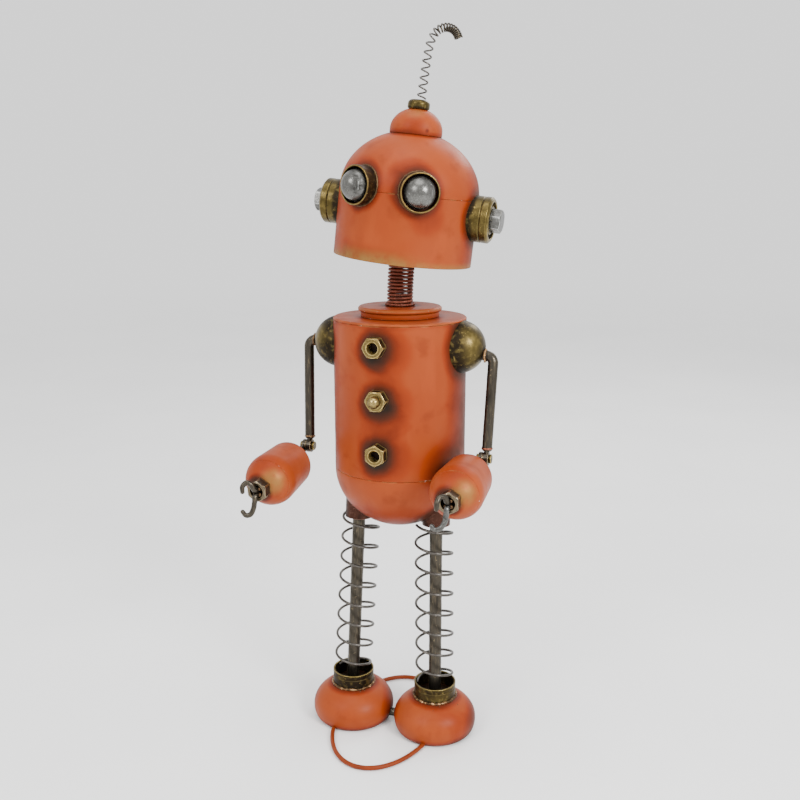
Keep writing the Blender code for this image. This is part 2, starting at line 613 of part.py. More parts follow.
def build_forearm(name, fore, rear_ring, lug_at):
    """Forearm shells, modelled along +Z with +Y up; the frame's origin is the elbow axis."""
    place = Matrix.Translation(rear_ring)
    seam = FOREARM_TUBE + FOREARM_SEAM
    seam_angle = math.degrees(math.asin(FOREARM_SEAM / FOREARM_FRONT_R))
    rear = arc((0, 0), (FOREARM_REAR_R, FOREARM_REAR_DEPTH), -90, 0, 4)
    rear += arc((0, FOREARM_TUBE), (FOREARM_FRONT_R, FOREARM_FRONT_R), 0, seam_angle, 2)
    inner_front = FOREARM_FRONT_R - SHEET
    inner_angle = math.degrees(math.asin(FOREARM_SEAM / inner_front))
    rear += arc((0, FOREARM_TUBE), (inner_front, inner_front), inner_angle, 0, 1)
    rear += arc((0, 0), (FOREARM_REAR_R - SHEET, FOREARM_REAR_DEPTH - SHEET), 0, -90, 2)
    rear_mesh = turned(f"forearm_rear_{name}", on_axis(rear), 18)
    shell = add(f"forearm_rear_{name}", rear_mesh, ORANGE, fore, place)
    into_wall = math.sqrt(FOREARM_REAR_R**2 - (rear_ring.x - lug_at.x) ** 2) / FOREARM_REAR_R
    centre = Vector((lug_at.x, rear_ring.y, rear_ring.z))
    bar = centre - lug_at
    end = bar - bar.normalized() * (FOREARM_REAR_DEPTH * 0.5 + FOREARM_REAR_R * 0.38) * into_wall
    angle = math.atan2(-end.y, end.z)
    bm = bmesh.new()
    size = Matrix.Diagonal((LUG_T, 10 * MM, end.length, 1))
    middle = Matrix.Translation(lug_at + end / 2) @ Matrix.Rotation(angle, 4, "X")
    bmesh.ops.create_cube(bm, size=1, matrix=middle @ size)
    to_elbow = place.inverted()
    combine(shell, finish_mesh("lug", bm), "UNION", to_elbow)
    half = Vector((LUG_T / 2, 0, 0))
    lug_round = cylinder("lug_round", ELBOW_EYE_R - 0.5 * MM, lug_at - half, lug_at + half, 20)
    combine(shell, lug_round, "UNION", to_elbow)
    bore = cylinder("lug_hole", 2.5 * MM + GAP, lug_at - 3 * half, lug_at + 3 * half, 16)
    combine(shell, bore, "DIFFERENCE", to_elbow)

    start = math.degrees(math.asin((FOREARM_SEAM + GAP) / FOREARM_FRONT_R))
    front = arc((0, FOREARM_TUBE), (FOREARM_FRONT_R, FOREARM_FRONT_R), start, 76, 4)
    inner_start = math.degrees(math.asin((FOREARM_SEAM + GAP) / inner_front))
    front += arc((0, FOREARM_TUBE), (inner_front, inner_front), 75, inner_start, 2)
    add(f"forearm_front_{name}", turned(f"forearm_front_{name}", front, 18), ORANGE, fore, place)
    nut_at = FOREARM_TUBE + math.sqrt(FOREARM_FRONT_R**2 - (HAND_NUT_AF / 2) ** 2) + GAP
    nut_place = place @ Matrix.Translation((0, 0, nut_at))
    nut = hex_nut(f"hand_nut_{name}", DARK, nut_place, fore, HAND_NUT_AF, HAND_NUT_T, 5.8 * MM)
    dome = arc((0, 0), (FOREARM_FRONT_R + GAP, FOREARM_FRONT_R + GAP), 60, 90, 6)
    outline = on_axis([(0, dome[0][1])] + dome)
    combine(nut, turned("hand_dome", outline, 12), "DIFFERENCE",
            Matrix.Translation((0, 0, FOREARM_TUBE - nut_at)))
    build_claws(name, fore, rear_ring + Vector((0, 0, nut_at + HAND_NUT_T)))


# Each finger's centreline from the middle of the hand nut's face: right, up and forward
CLAWS = {
    ("lower", "left"): ((0, -2.6, -6), (0, -2.8, 2.4), (-0.3, -8, 4.2), (-1, -13.6, 6), (-4, -18.4, 8),
                        (-8.4, -19.6, 9.5), (-11, -16.4, 10.5)),
    ("lower", "right"): ((0, -2.6, -6), (0, -2.8, 2.4), (-0.3, -8, 4.2), (-0.8, -13.2, 6), (-3, -18.2, 8),
                         (-7, -19.2, 9.5), (-9.6, -15.4, 10.5)),
    ("upper", "left"): ((0, 2.6, -6), (0, 2.8, 2.4), (-1, 7.4, 4.6), (-4.4, 8.6, 8), (-6, 4.6, 12),
                        (-6, -0.6, 13)),
    ("upper", "right"): ((0, 2.6, -6), (0, 2.8, 2.4), (-2.4, 8.2, 4), (-6.2, 10.4, 5.5), (-9, 7.4, 8),
                         (-8.6, 2.8, 9.5)),
}


def build_claws(name, fore, face):
    for label in ("upper", "lower"):
        corners = [Vector(p) * MM for p in CLAWS[label, name]]
        points = [face + corners[0], face + corners[1]]
        for i in range(1, len(corners) - 1):
            before, here, after = corners[i - 1], corners[i], corners[i + 1]
            half = (here + after) / 2
            start = (before + here) / 2 if i > 1 else here
            points += [face + start * 0.25 + here * 0.5 + half * 0.25, face + half]
        points.append(face + corners[-1])
        wire(f"claw_{label}_{name}", points, CLAW_R, DARK, 1, fore)


# ---------------------------------------------------------------- legs and feet

def build_leg(name, side):
    hip = Vector((side * HIP.x, HIP.y, HIP.z))
    ankle = Vector((side * ANKLE.x, ANKLE.y, ANKLE.z))
    down = (ankle - hip).normalized()
    rod_foot = ankle + down * ((ankle.z - FOOT_TOP_Z - GAP - 1.2 * MM) / -down.z)
    rod = add(f"leg_rod_{name}", cylinder(f"leg_rod_{name}", LEG_R, rod_foot, hip - down * 24 * MM, 20), DARK)
    bowl_outline = arc((0, TORSO_SEAM_Z), (TORSO_R + GAP, BOWL_DEPTH + GAP), -90, 0, 16)
    bowl = turned("bowl_wall", on_axis(bowl_outline + [(0, TORSO_SEAM_Z)]), 64)
    combine(rod, bowl)

    # Hip cup: a short capped pipe that the top of the spring sits round
    cup = add(f"hip_cup_{name}", turned(f"hip_cup_{name}", [
        (LEG_R + GAP, 0), (HIP_CUP_R, 0), (HIP_CUP_R, -HIP_CUP_H), (HIP_CUP_R - 1.6 * MM, -HIP_CUP_H),
        (HIP_CUP_R - 1.6 * MM, -1.6 * MM), (LEG_R + GAP, -1.6 * MM),
    ], 16), DARK, None, aim(hip, down))
    combine(cup, bowl.copy(), "DIFFERENCE", cup.matrix_basis.inverted())

    # The spring hangs a little off the rod's axis, and its last turn is drawn in to the collar
    top = hip + down * 3.2 * MM + Vector((SPRING_SHIFT[name][0], 0, 0))
    bottom = ankle + down * 2 * MM + Vector((SPRING_SHIFT[name][1], 0, 0))
    turn = down.to_track_quat("-Z", "Y").to_matrix()
    count = round(LEG_TURNS * LEG_STEPS)
    points = []
    for i in range(count + 1):
        share = i / count
        radius = LEG_COIL_R - 0.9 * MM * max(0.0, (share - 0.9) / 0.1)
        t = 2 * math.pi * LEG_TURNS * (share - 1)
        round_axis = Vector((radius * math.cos(t), radius * math.sin(t), 0))
        points.append(top.lerp(bottom, share) + turn @ round_axis)
    wire(f"leg_spring_{name}", points, LEG_WIRE_R, DARK, 0)

    inner = COLLAR_R - COLLAR_WALL
    collar = add(f"ankle_collar_{name}", turned(f"ankle_collar_{name}", [
        (inner, -24 * MM), (COLLAR_R, -24 * MM), (COLLAR_R, 0), (inner, 0),
    ], 20), BRASS, None, Matrix.Translation(ankle))
    combine(collar, turned("foot_solid", foot_outline(GAP, True), 40), "DIFFERENCE",
            Matrix.Translation((0, 0, -ankle.z)))
    add(f"foot_dome_{name}", turned(f"foot_dome_{name}", foot_outline(0, False), 22), ORANGE, None,
        Matrix.Translation((ankle.x, ankle.y, 0)))


def foot_outline(grow, solid):
    """Outline of the foot: a squat dome whose side tucks in to a flat rim at the floor."""
    tuck = arc((FOOT_SOLE_R, FOOT_WIDEST_Z), (FOOT_R - FOOT_SOLE_R + grow, FOOT_WIDEST_Z), -80, 0, 3)
    height = FOOT_TOP_Z - FOOT_WIDEST_Z + grow
    dome = arc((0, FOOT_WIDEST_Z), (FOOT_R + grow, height), 0, 90, 10 if solid else 5)[1:]
    if solid:
        return on_axis([(0, -8 * MM), (FOOT_SOLE_R, -8 * MM)] + tuck + dome)
    wall = SHEET
    inside = arc((0, FOOT_WIDEST_Z), (FOOT_R - wall, FOOT_TOP_Z - FOOT_WIDEST_Z - wall), 90, 0, 3)
    inside += [(FOOT_SOLE_R - wall, 2 * MM), (FOOT_SOLE_R - 6 * MM, 2 * MM), (FOOT_SOLE_R - 6 * MM, 0)]
    return on_axis([(FOOT_SOLE_R, 0)] + tuck[1:] + dome + inside)


def build_base():
    """An oval of wire on the floor, cut where the feet stand, and a short link between the feet."""
    reach = ANKLE.x - FOOT_R
    for name, sign in (("front", -1), ("rear", 1)):
        points = []
        for i in range(25):
            t = math.pi * i / 24
            x = HOOP.x + HOOP_HALF[0] * math.cos(t)
            y = HOOP.y + sign * HOOP_HALF[1] * math.sin(t)
            points.append(Vector((x, y, HOOP_WIRE_R)))
        hoop = add(f"base_hoop_{name}", wire_mesh(f"base_hoop_{name}", points, HOOP_WIRE_R, 1), ORANGE)
        for _, side in SIDES:
            foot = turned("foot_solid", foot_outline(GAP, True), 40)
            combine(hoop, foot, "DIFFERENCE", Matrix.Translation((side * ANKLE.x, ANKLE.y, 0)))
    z = 7.5 * MM
    half = Vector((reach + 2 * MM, 0, 0))
    middle = Vector((0, ANKLE.y, z))
    link = add("foot_link", cylinder("foot_link", 4 * MM, middle - half, middle + half, 16), DARK)
    for _, side in SIDES:
        foot = turned("foot_solid", foot_outline(GAP, True), 40)
        combine(link, foot, "DIFFERENCE", Matrix.Translation((side * ANKLE.x, ANKLE.y, 0)))


def build():
    build_torso()
    build_chest()
    build_neck()
    skull = build_head()
    build_eyes(skull)
    build_ears(skull)
    build_antenna(skull, build_topknot(skull))
    for name, side in SIDES:
        build_shoulder(name, side)
        build_arm(name, side)
        build_leg(name, side)
    build_base()
    for obj in bpy.data.objects:
        if obj.parent is None:
            obj.location += TORSO_AXIS


build()
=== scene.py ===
"""Looks of the steel robot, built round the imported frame.

Every shell, nut, rod and spring gets a finer mesh than its CAD solid, and a procedural finish.
Metres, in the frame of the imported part: the robot faces -Y and its left is +X. Meshes are made in
that frame with their object at the origin, so a material's object coordinates are the part's own.
"""

import json
import random
from math import asin, atan2, ceil, cos, degrees, dist, hypot, pi, radians, sin, sqrt, tan

import bmesh
import bpy
import numpy as np
from mathutils import Matrix, Vector, noise


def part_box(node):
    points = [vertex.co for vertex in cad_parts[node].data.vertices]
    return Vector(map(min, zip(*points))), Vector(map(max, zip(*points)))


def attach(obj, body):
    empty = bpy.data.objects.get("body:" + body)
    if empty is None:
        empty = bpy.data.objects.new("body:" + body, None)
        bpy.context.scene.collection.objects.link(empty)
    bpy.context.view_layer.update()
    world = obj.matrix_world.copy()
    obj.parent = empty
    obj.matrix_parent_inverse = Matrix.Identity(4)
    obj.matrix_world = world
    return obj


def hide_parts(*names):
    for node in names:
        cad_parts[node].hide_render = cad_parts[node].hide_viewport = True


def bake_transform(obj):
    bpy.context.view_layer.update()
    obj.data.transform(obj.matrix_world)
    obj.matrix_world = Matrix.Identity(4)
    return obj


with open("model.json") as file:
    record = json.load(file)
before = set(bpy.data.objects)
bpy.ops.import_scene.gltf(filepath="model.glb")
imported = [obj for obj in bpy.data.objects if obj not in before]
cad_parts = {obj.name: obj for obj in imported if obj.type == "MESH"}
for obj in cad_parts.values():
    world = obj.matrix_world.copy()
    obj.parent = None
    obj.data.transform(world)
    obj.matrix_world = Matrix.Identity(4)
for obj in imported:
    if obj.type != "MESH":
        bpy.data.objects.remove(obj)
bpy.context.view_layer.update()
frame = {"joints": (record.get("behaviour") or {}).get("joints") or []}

MM = 0.001
move = Matrix.Translation
SIDES = (("left", 1), ("right", -1))
JOINTS = {joint["name"]: Vector(joint["pos_m"]) for joint in frame["joints"]}


def middle(node):
    low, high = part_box(node)
    return (low + high) / 2


# ---- the frame's own places and sizes

TUBE_LOW, TUBE_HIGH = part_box("torso_tube")
AXIS = Vector((middle("torso_tube").x, middle("torso_tube").y, 0))
TORSO_R = (TUBE_HIGH.x - TUBE_LOW.x) / 2
BOWL_LOW, BOWL_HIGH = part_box("torso_bowl")
SHEET = 1.2 * MM

LEAN = radians(6.5)  # of the head at rest, to the robot's left
NECK_LENGTH = 48.5 * MM
NECK_RADIUS = NECK_LENGTH / LEAN
NECK_COIL_R = 10.9 * MM
NECK_WIRE_R = 1.35 * MM
NECK_TURNS = 14
NECK_BASE = AXIS + Vector((0, 0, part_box("neck_disc")[1].z))


def neck_frame(s):
    """Matrix of the neck's centreline at length s above the disc. It is one arc."""
    angle = s / NECK_RADIUS
    arc_point = Vector((NECK_RADIUS * (1 - cos(angle)), 0, NECK_RADIUS * sin(angle)))
    return move(NECK_BASE + arc_point) @ Matrix.Rotation(angle, 4, "Y")


HEAD = neck_frame(NECK_LENGTH)  # z = 0 is the underside of the head's floor
HEAD_R = 63.1 * MM
HEAD_RIM_Z = -6 * MM
HEAD_SEAM_Z = 53 * MM
HEAD_DOME_H = 54.2 * MM
KNOB_R = 23.6 * MM
KNOB_SIDE = 3.5 * MM
KNOB_H = 19.5 * MM
KNOB_TOP = 68  # degrees up the knob's arc at which it is cut off
CAP_R = 10 * MM
CAP_H = 8 * MM
EYE_ANGLE = radians(24.4)
EYE_Z = 56.6 * MM
EYE_TUBE_R = 17 * MM
EYE_TUBE_OUT = 8.3 * MM
EYE_BALL_R = 13.5 * MM
EAR_Z = 38.2 * MM
EAR_R = 20.4 * MM
EAR_W = 15.8 * MM
NUT_FLAT = 17.5 * MM  # across flats
SHOULDER_R = 24.5 * MM
ROD_R = 4.8 * MM
STUB_INSIDE = 12 * MM  # how far a rod's stub reaches inside the torso
ARMS = {  # slant forward, rod length, forearm offset, forearm drop
    "left": (radians(7.5), 94 * MM, 11.5 * MM, radians(1.5)),
    "right": (radians(5), 103.5 * MM, 12.8 * MM, radians(5)),
}
ARM_REACH = 32.2 * MM  # from the shoulder's pivot out to the rod
ARM_TOE = radians(1.3)
FOREARM_REAR_R = 22.3 * MM
FOREARM_R = 24.2 * MM
FOREARM_TUBE = 37 * MM
FOREARM_REAR_DEPTH = 14 * MM
FOREARM_SEAM = 10 * MM
HAND_NUT_T = 9.5 * MM
SHOULDER = Vector((57.8, -4, 377)) * MM  # this and the next two: from the torso's axis, left side
HIP = Vector((39, -9, 205.5)) * MM
ANKLE = Vector((42.3, -20.6, 49.7)) * MM
LEG_R = 6.2 * MM
LEG_COIL_R = 17.6 * MM
LEG_WIRE_R = 1.25 * MM
HIP_CUP_R = 13.5 * MM
COLLAR_R = 20.2 * MM
FOOT_R = 40.1 * MM
SOLE_R = 34.3 * MM
FOOT_WIDEST_Z = 12.5 * MM
FOOT_TOP_Z = 39 * MM
SEAM = 0.12 * MM  # half the gap between the head's two shells
DENTS = 0.3  # millimetres that hand-worked sheet is out of true
SKY = 1.4  # strength of the sky, and of the floor far off
CAMERA_AT = Vector((0.27142, -0.7788, 0.5112))
CAMERA_TURN = (radians(17.7405), radians(12.5137))  # azimuth, height
CAMERA_LENS = 41.46


# ---- materials

class Finish:
    """A material with short calls for its nodes. Values may be numbers, colours or sockets."""

    def __init__(self, name):
        self.material = bpy.data.materials.new(name)
        self.material.use_nodes = True
        self.tree = self.material.node_tree
        self.shader = self.tree.nodes["Principled BSDF"]
        self.place = self.tree.nodes.new("ShaderNodeTexCoord").outputs["Object"]

    def put(self, socket, value):
        if isinstance(value, bpy.types.NodeSocket):
            self.tree.links.new(value, socket)
        elif isinstance(value, tuple) and len(value) == 3 and len(socket.default_value) == 4:
            socket.default_value = (*value, 1)
        else:
            socket.default_value = value

    def node(self, kind, inputs, out=0, **settings):
        made = self.tree.nodes.new(kind)
        for key, value in settings.items():
            setattr(made, key, value)
        for key, value in inputs.items():
            self.put(made.inputs[key], value)
        return made.outputs[out]

    def math(self, operation, a, b=0.0, clamp=False):
        return self.node("ShaderNodeMath", {0: a, 1: b}, operation=operation, use_clamp=clamp)

    def times(self, a, b, clamp=False):
        return self.math("MULTIPLY", a, b, clamp)

    def plus(self, a, b, clamp=False):
        return self.math("ADD", a, b, clamp)

    def noise(self, scale, detail=4.0, stretch=(1, 1, 1), distortion=0.0, roughness=0.5):
        place = self.node("ShaderNodeMapping", {"Vector": self.place, "Scale": stretch})
        return self.node("ShaderNodeTexNoise", {
            "Vector": place, "Scale": scale, "Detail": detail, "Distortion": distortion,
            "Roughness": roughness,
        })

    def mask(self, name):
        return self.node("ShaderNodeAttribute", {}, out=2, attribute_name=name)

    def step(self, value, low, high, start=0.0, end=1.0):
        return self.node("ShaderNodeMapRange", {
            "Value": value, "From Min": low, "From Max": high, "To Min": start, "To Max": end,
        }, interpolation_type="SMOOTHSTEP")

    def mix(self, share, a, b):
        return self.node("ShaderNodeMix", {0: share, 6: a, 7: b}, out=2, data_type="RGBA")

    def ramp(self, value, stops):
        made = self.tree.nodes.new("ShaderNodeValToRGB")
        self.put(made.inputs[0], value)
        elements = made.color_ramp.elements
        while len(elements) < len(stops):
            elements.new(0.5)
        for element, (position, colour) in zip(elements, stops):
            element.position = position
            element.color = (*colour, 1)
        return made.outputs[0]

    def bump(self, height, distance, strength=1.0, under=None):
        inputs = {"Height": height, "Distance": distance, "Strength": strength}
        if under is not None:
            inputs["Normal"] = under
        return self.node("ShaderNodeBump", inputs)

    def done(self, **values):
        """Sets the shader's sockets by name, with _ for a space."""
        for key, value in values.items():
            self.put(self.shader.inputs[key.replace("_", " ")], value)
        return self.material


def shade(colour, factor):
    return tuple(channel * factor for channel in colour)


def make_paint(name, salmon, strong):
    """Satin orange paint: darkened by airbrush and painted shade where 'dark' is, gold with painted
    highlights where 'gold' is, and rubbed at edges.
    """
    f = Finish(name)
    cloud = f.noise(11, 3, distortion=0.6)
    blotch = f.noise(48, 5)
    brush = f.noise(60, 4, stretch=(1, 1, 0.25))
    grain = f.noise(650, 3)
    base = f.mix(f.step(cloud, 0.36, 0.66), salmon, tuple((a + b) / 2 for a, b in zip(salmon, strong)))
    base = f.mix(f.step(brush, 0.45, 0.72, 0, 0.5), base, shade(salmon, 1.18))
    base = f.mix(f.step(blotch, 0.54, 0.74, 0, 0.5), base, shade(strong, 0.72))
    worn = f.times(f.math("SUBTRACT", blotch, 0.5), 0.34)
    # The 'dark' mask holds airbrush and painted shade; the ramp below colours both.
    airbrush_and_shade = f.mask("dark")
    dark = f.plus(airbrush_and_shade, f.times(worn, f.step(airbrush_and_shade, 0.02, 0.4)), clamp=True)
    dark = f.plus(dark, f.step(f.noise(17, 4, distortion=0.8), 0.5, 0.78, 0, 0.24), clamp=True)
    smoke_and_shade = f.ramp(dark, [
        (0.0, salmon), (0.22, strong), (0.42, (strong[0] * 0.62, strong[1] * 0.55, strong[2] * 0.5)),
        (0.7, (0.055, 0.011, 0.003)), (1.0, (0.016, 0.009, 0.005)),
    ])
    colour = f.mix(f.step(dark, 0.02, 0.2), base, smoke_and_shade)
    # The 'gold' mask holds rubbed gold and painted highlights.
    gold = f.times(f.mask("gold"), f.step(f.noise(130, 4), 0.25, 0.6, 0.45, 1.0), clamp=True)
    colour = f.mix(f.times(gold, 0.85), colour, (0.25, 0.145, 0.04))
    speck = f.times(f.step(grain, 0.66, 0.74), f.step(cloud, 0.5, 0.72, 0.1, 0.55))
    colour = f.mix(speck, colour, (0.08, 0.022, 0.008))
    edge = f.mask("edge")
    rubbed = f.times(edge, f.step(f.noise(90, 5), 0.46, 0.62))
    colour = f.mix(f.times(rubbed, 0.7), colour, (0.34, 0.15, 0.05))
    chips = f.times(edge, f.step(f.noise(240, 3), 0.66, 0.7))
    colour = f.mix(chips, colour, (0.72, 0.62, 0.5))
    metallic = f.times(f.math("MAXIMUM", gold, f.times(rubbed, 0.6)), 0.6)
    rough = f.plus(f.step(blotch, 0.3, 0.7, 0.40, 0.50), f.times(dark, 0.06))
    height = f.plus(f.times(grain, 0.25), f.noise(170, 3))
    normal = f.bump(height, 0.00012, 0.35)
    normal = f.bump(f.noise(26, 2), 0.0012, 0.25, normal)
    return f.done(Base_Color=colour, Metallic=metallic, Roughness=rough, Normal=normal,
                  Specular_IOR_Level=0.13)


def make_metal(name, base, patina, bright, rough=0.36, grime=0.5, streak=(1, 1, 1), scale=70,
               metallic=0.92, blur=0.11):
    """Aged metal: patina in clouds and where 'dark' is, which also holds painted shade; rubbed bright
    at edges and where 'gold' is, which also holds painted highlights.
    """
    f = Finish(name)
    cloud = f.noise(scale, 5, stretch=streak, distortion=0.4)
    fine = f.noise(scale * 6, 4, stretch=streak)
    scratch = f.noise(420, 2, stretch=(1, 0.12, 1), distortion=0.2)
    scratch_up = f.noise(520, 2, stretch=(0.9, 1, 0.1), distortion=0.2)
    limit = 0.73 - 0.2 * grime
    # 'dark' adds painted shade as well as patina.
    patina_and_shade = f.step(f.plus(cloud, f.times(f.mask("dark"), 0.42)), limit - blur, limit + blur)
    colour = f.mix(patina_and_shade, base, patina)
    lift = f.step(fine, 0.5, 0.72, 0, 0.4)
    colour = f.mix(lift, colour, tuple((a + b) / 2 for a, b in zip(base, bright)))
    rub_and_highlight = f.times(f.mask("edge"), f.step(cloud, 0.3, 0.55, 0.25, 1.0))
    # 'gold' adds painted highlights as well as rubbing.
    rub_and_highlight = f.math("MAXIMUM", rub_and_highlight, f.times(f.mask("gold"), f.step(fine, 0.35, 0.6, 0.5, 1.0)))
    lines = f.math("MAXIMUM", f.step(scratch, 0.68, 0.73), f.step(scratch_up, 0.69, 0.74))
    colour = f.mix(f.math("MAXIMUM", rub_and_highlight, f.times(lines, 0.45)), colour, bright)
    pit = f.step(f.noise(300, 3), 0.68, 0.76)
    colour = f.mix(f.times(pit, 0.6), colour, shade(patina, 0.5))
    roughness = f.plus(f.step(patina_and_shade, 0, 1, rough, rough + 0.2), f.times(fine, 0.12))
    roughness = f.math("SUBTRACT", roughness, f.times(rub_and_highlight, 0.1))
    height = f.math("SUBTRACT", fine, f.times(f.plus(lines, pit), 0.5))
    normal = f.bump(height, 0.0001, 0.5)
    normal = f.bump(f.noise(75, 2), 0.0008, 0.2, normal)
    return f.done(Base_Color=colour, Metallic=metallic, Roughness=roughness, Normal=normal)


PAINT = make_paint("orange_satin_paint", (0.255, 0.044, 0.0085), (0.215, 0.026, 0.0025))
WIRE_PAINT = make_paint("painted_wire", (0.18, 0.03, 0.006), (0.15, 0.02, 0.003))
COPPER = make_metal("copper_brown_lacquer", (0.13, 0.026, 0.01), (0.04, 0.01, 0.006),
                    (0.4, 0.13, 0.07), 0.42, 0.35, metallic=0.45)
BRASS = make_metal("aged_brass", (0.07, 0.05, 0.014), (0.016, 0.011, 0.006),
                   (0.34, 0.25, 0.075), 0.28, 0.45, scale=36, blur=0.2)
EYE_BRASS = make_metal("browned_brass", (0.035, 0.021, 0.008), (0.014, 0.008, 0.004),
                       (0.3, 0.2, 0.065), 0.34, 0.4, scale=40, blur=0.2)
BRIGHT_BRASS = make_metal("rubbed_brass", (0.085, 0.055, 0.015), (0.018, 0.01, 0.005),
                          (0.55, 0.41, 0.15), 0.26, 0.4, scale=150, blur=0.18)
STEEL = make_metal("scratched_steel", (0.115, 0.113, 0.105), (0.022, 0.021, 0.019),
                   (0.4, 0.4, 0.38), 0.22, 0.7, scale=85, blur=0.16)
DARK = make_metal("dark_steel", (0.05, 0.043, 0.033), (0.014, 0.011, 0.009),
                  (0.25, 0.19, 0.11), 0.27, 0.35, streak=(1, 1, 0.1), scale=120, blur=0.17)
WIRE = make_metal("spring_steel", (0.075, 0.068, 0.06), (0.025, 0.021, 0.018),
                  (0.3, 0.28, 0.25), 0.28, 0.3)
WELD = make_metal("weld_bead", (0.08, 0.045, 0.022), (0.022, 0.012, 0.007),
                  (0.45, 0.26, 0.12), 0.36, 0.4, scale=260)
HIP_BROWN = make_metal("browned_steel", (0.05, 0.02, 0.013), (0.018, 0.009, 0.007),
                       (0.25, 0.12, 0.09), 0.36, 0.4)


# ---- masks

def soft(x):
    x = np.clip(x, 0, 1)
    return x * x * (3 - 2 * x)


def spot(centre, inner, outer, strength=1.0):
    """Mask that is full within inner millimetres of a point and gone at outer."""
    centre = np.array(centre)
    inner, fade = inner * MM, (outer - inner) * MM
    return lambda p: strength * soft(1 - (np.linalg.norm(p - centre, axis=1) - inner) / fade)


def level(place, full, gone, strength=1.0):
    """Mask by height in a piece's own frame: full at one level and gone at another."""
    inverse = np.array(place.inverted())
    return lambda p: strength * soft((p @ inverse[2, :3] + inverse[2, 3] - gone) / (full - gone))


def ring(place, radius, width, strength=1.0):
    """Mask near a circle about a piece's own Z axis, at z = 0."""
    inverse = np.array(place.inverted())

    def value(p):
        local = p @ inverse[:3, :3].T + inverse[:3, 3]
        off = np.hypot(np.hypot(local[:, 0], local[:, 1]) - radius, local[:, 2])
        return strength * soft(1 - off / width)
    return value


def flank(place, direction, radius, gone, strength):
    """Mask on one side of a round shell: full at its radius that way, gone at a share of it."""
    return level(place @ aim((0, 0, 0), direction), radius, gone * radius, strength)


def even(strength):
    return lambda p: np.full(len(p), strength)


def total(masks, points):
    left = np.ones(len(points))
    for mask in masks:
        left = left * (1 - np.clip(mask(points), 0, 1))
    return 1 - left


# ---- meshes

SHARP = radians(42)  # faces that meet at more than this keep a sharp edge
ON_AXIS = 1e-6  # a radius below this is on a turned piece's axis


def piece(name, shape, finish, body, nodes=(), dark=(), gold=(), edges=(9, 20), place=None, slot=None):
    """Makes an object of a (vertices, faces) shape, with its masks, and says what it rides on.

    nodes are the CAD nodes that it stands for, edges the angles in degrees at which wear starts
    and is full. slot is not used.
    """
    verts, faces = shape
    mesh = bpy.data.meshes.new(name)
    mesh.from_pydata([tuple(v) for v in verts], [], faces)
    bm = bmesh.new()
    bm.from_mesh(mesh)
    bmesh.ops.remove_doubles(bm, verts=bm.verts, dist=2e-6)
    bmesh.ops.dissolve_degenerate(bm, dist=1e-7, edges=bm.edges)
    bmesh.ops.recalc_face_normals(bm, faces=bm.faces)
    if place is not None:
        bmesh.ops.transform(bm, matrix=place, verts=bm.verts)
    bm.verts.index_update()
    worn = np.zeros(len(bm.verts))
    for edge in bm.edges if edges else ():
        if len(edge.link_faces) == 2:
            angle = degrees(edge.calc_face_angle_signed(0))
            share = max(0.0, min(1.0, (angle - edges[0]) / (edges[1] - edges[0])))
            for vert in edge.verts:
                worn[vert.index] = max(worn[vert.index], share)
    bm.to_mesh(mesh)
    bm.free()
    points = np.array([v.co for v in mesh.vertices]).reshape(-1, 3)
    for label, values in (("edge", worn), ("dark", total(dark, points)), ("gold", total(gold, points))):
        attribute = mesh.attributes.new(label, "FLOAT", "POINT")
        attribute.data.foreach_set("value", values.astype(np.float32))
    mesh.materials.append(finish)
    mesh.shade_smooth()
    mesh.set_sharp_from_angle(angle=SHARP)
    obj = bpy.data.objects.new(name, mesh)
    bpy.context.scene.collection.objects.link(obj)
    if body:
        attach(obj, body)
    if nodes:
        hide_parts(*nodes)
    return obj


def arc(centre, radii, start, end, count):
    """Points of an elliptical arc in the (radius, z) plane; angles in degrees."""
    angles = [radians(start + (end - start) * i / count) for i in range(count + 1)]
    return [(centre[0] + radii[0] * cos(t), centre[1] + radii[1] * sin(t)) for t in angles]


def rounded(points, radius, count=4):
    """The closed outline with its sharp corners rounded."""
    made = []
    for before, here, after in zip(points[-1:] + points[:-1], points, points[1:] + points[:1]):
        a, b, c = Vector(before), Vector(here), Vector(after)
        into, out = a - b, c - b
        short = min(into.length, out.length) < 1e-7
        if here[0] < ON_AXIS or short or into.angle(-out) < radians(16):
            made.append((max(0.0, here[0]), here[1]))
            continue
        p = b + into.normalized() * min(radius, into.length * 0.45)
        q = b + out.normalized() * min(radius, out.length * 0.45)
        for i in range(count + 1):
            t = i / count
            made.append(tuple(p * (1 - t) ** 2 + b * (2 * t * (1 - t)) + q * t * t))
    return made


def dense(points, step):
    """The closed outline with no run longer than step."""
    made = []
    for here, after in zip(points, points[1:] + points[:1]):
        count = max(1, ceil(dist(here, after) / step))
        if here[0] < ON_AXIS and after[0] < ON_AXIS:
            count = 1
        made += [tuple(h + (a - h) * i / count for h, a in zip(here, after)) for i in range(count)]
    return made


def polar(radius, angle, z=0.0):
    return radius * cos(angle), radius * sin(angle), z


def quads(pairs, count):
    """Faces between pairs of rings of count points, given by their places in the list."""
    return [(row * count + i, row * count + (i + 1) % count, after * count + (i + 1) % count,
             after * count + i) for row, after in pairs for i in range(count)]


def closed_pairs(axis):
    """Each ring with the next and the last with the first. axis says which are points on the axis."""
    pairs = [(row, (row + 1) % len(axis)) for row in range(len(axis))]
    return [(row, after) for row, after in pairs if not (axis[row] and axis[after])]


def lathe(outline, steps=128):
    """A closed (radius, z) outline spun about Z."""
    verts = [polar(r, 2 * pi * i / steps, z) for r, z in outline for i in range(steps)]
    return verts, quads(closed_pairs([r < ON_AXIS for r, _ in outline]), steps)


def ball(radius, end, count):
    """Outline of a ball; its arc runs to end degrees either way and then to the poles."""
    return [(0, -radius)] + arc((0, 0), (radius, radius), -end, end, count) + [(0, radius)]


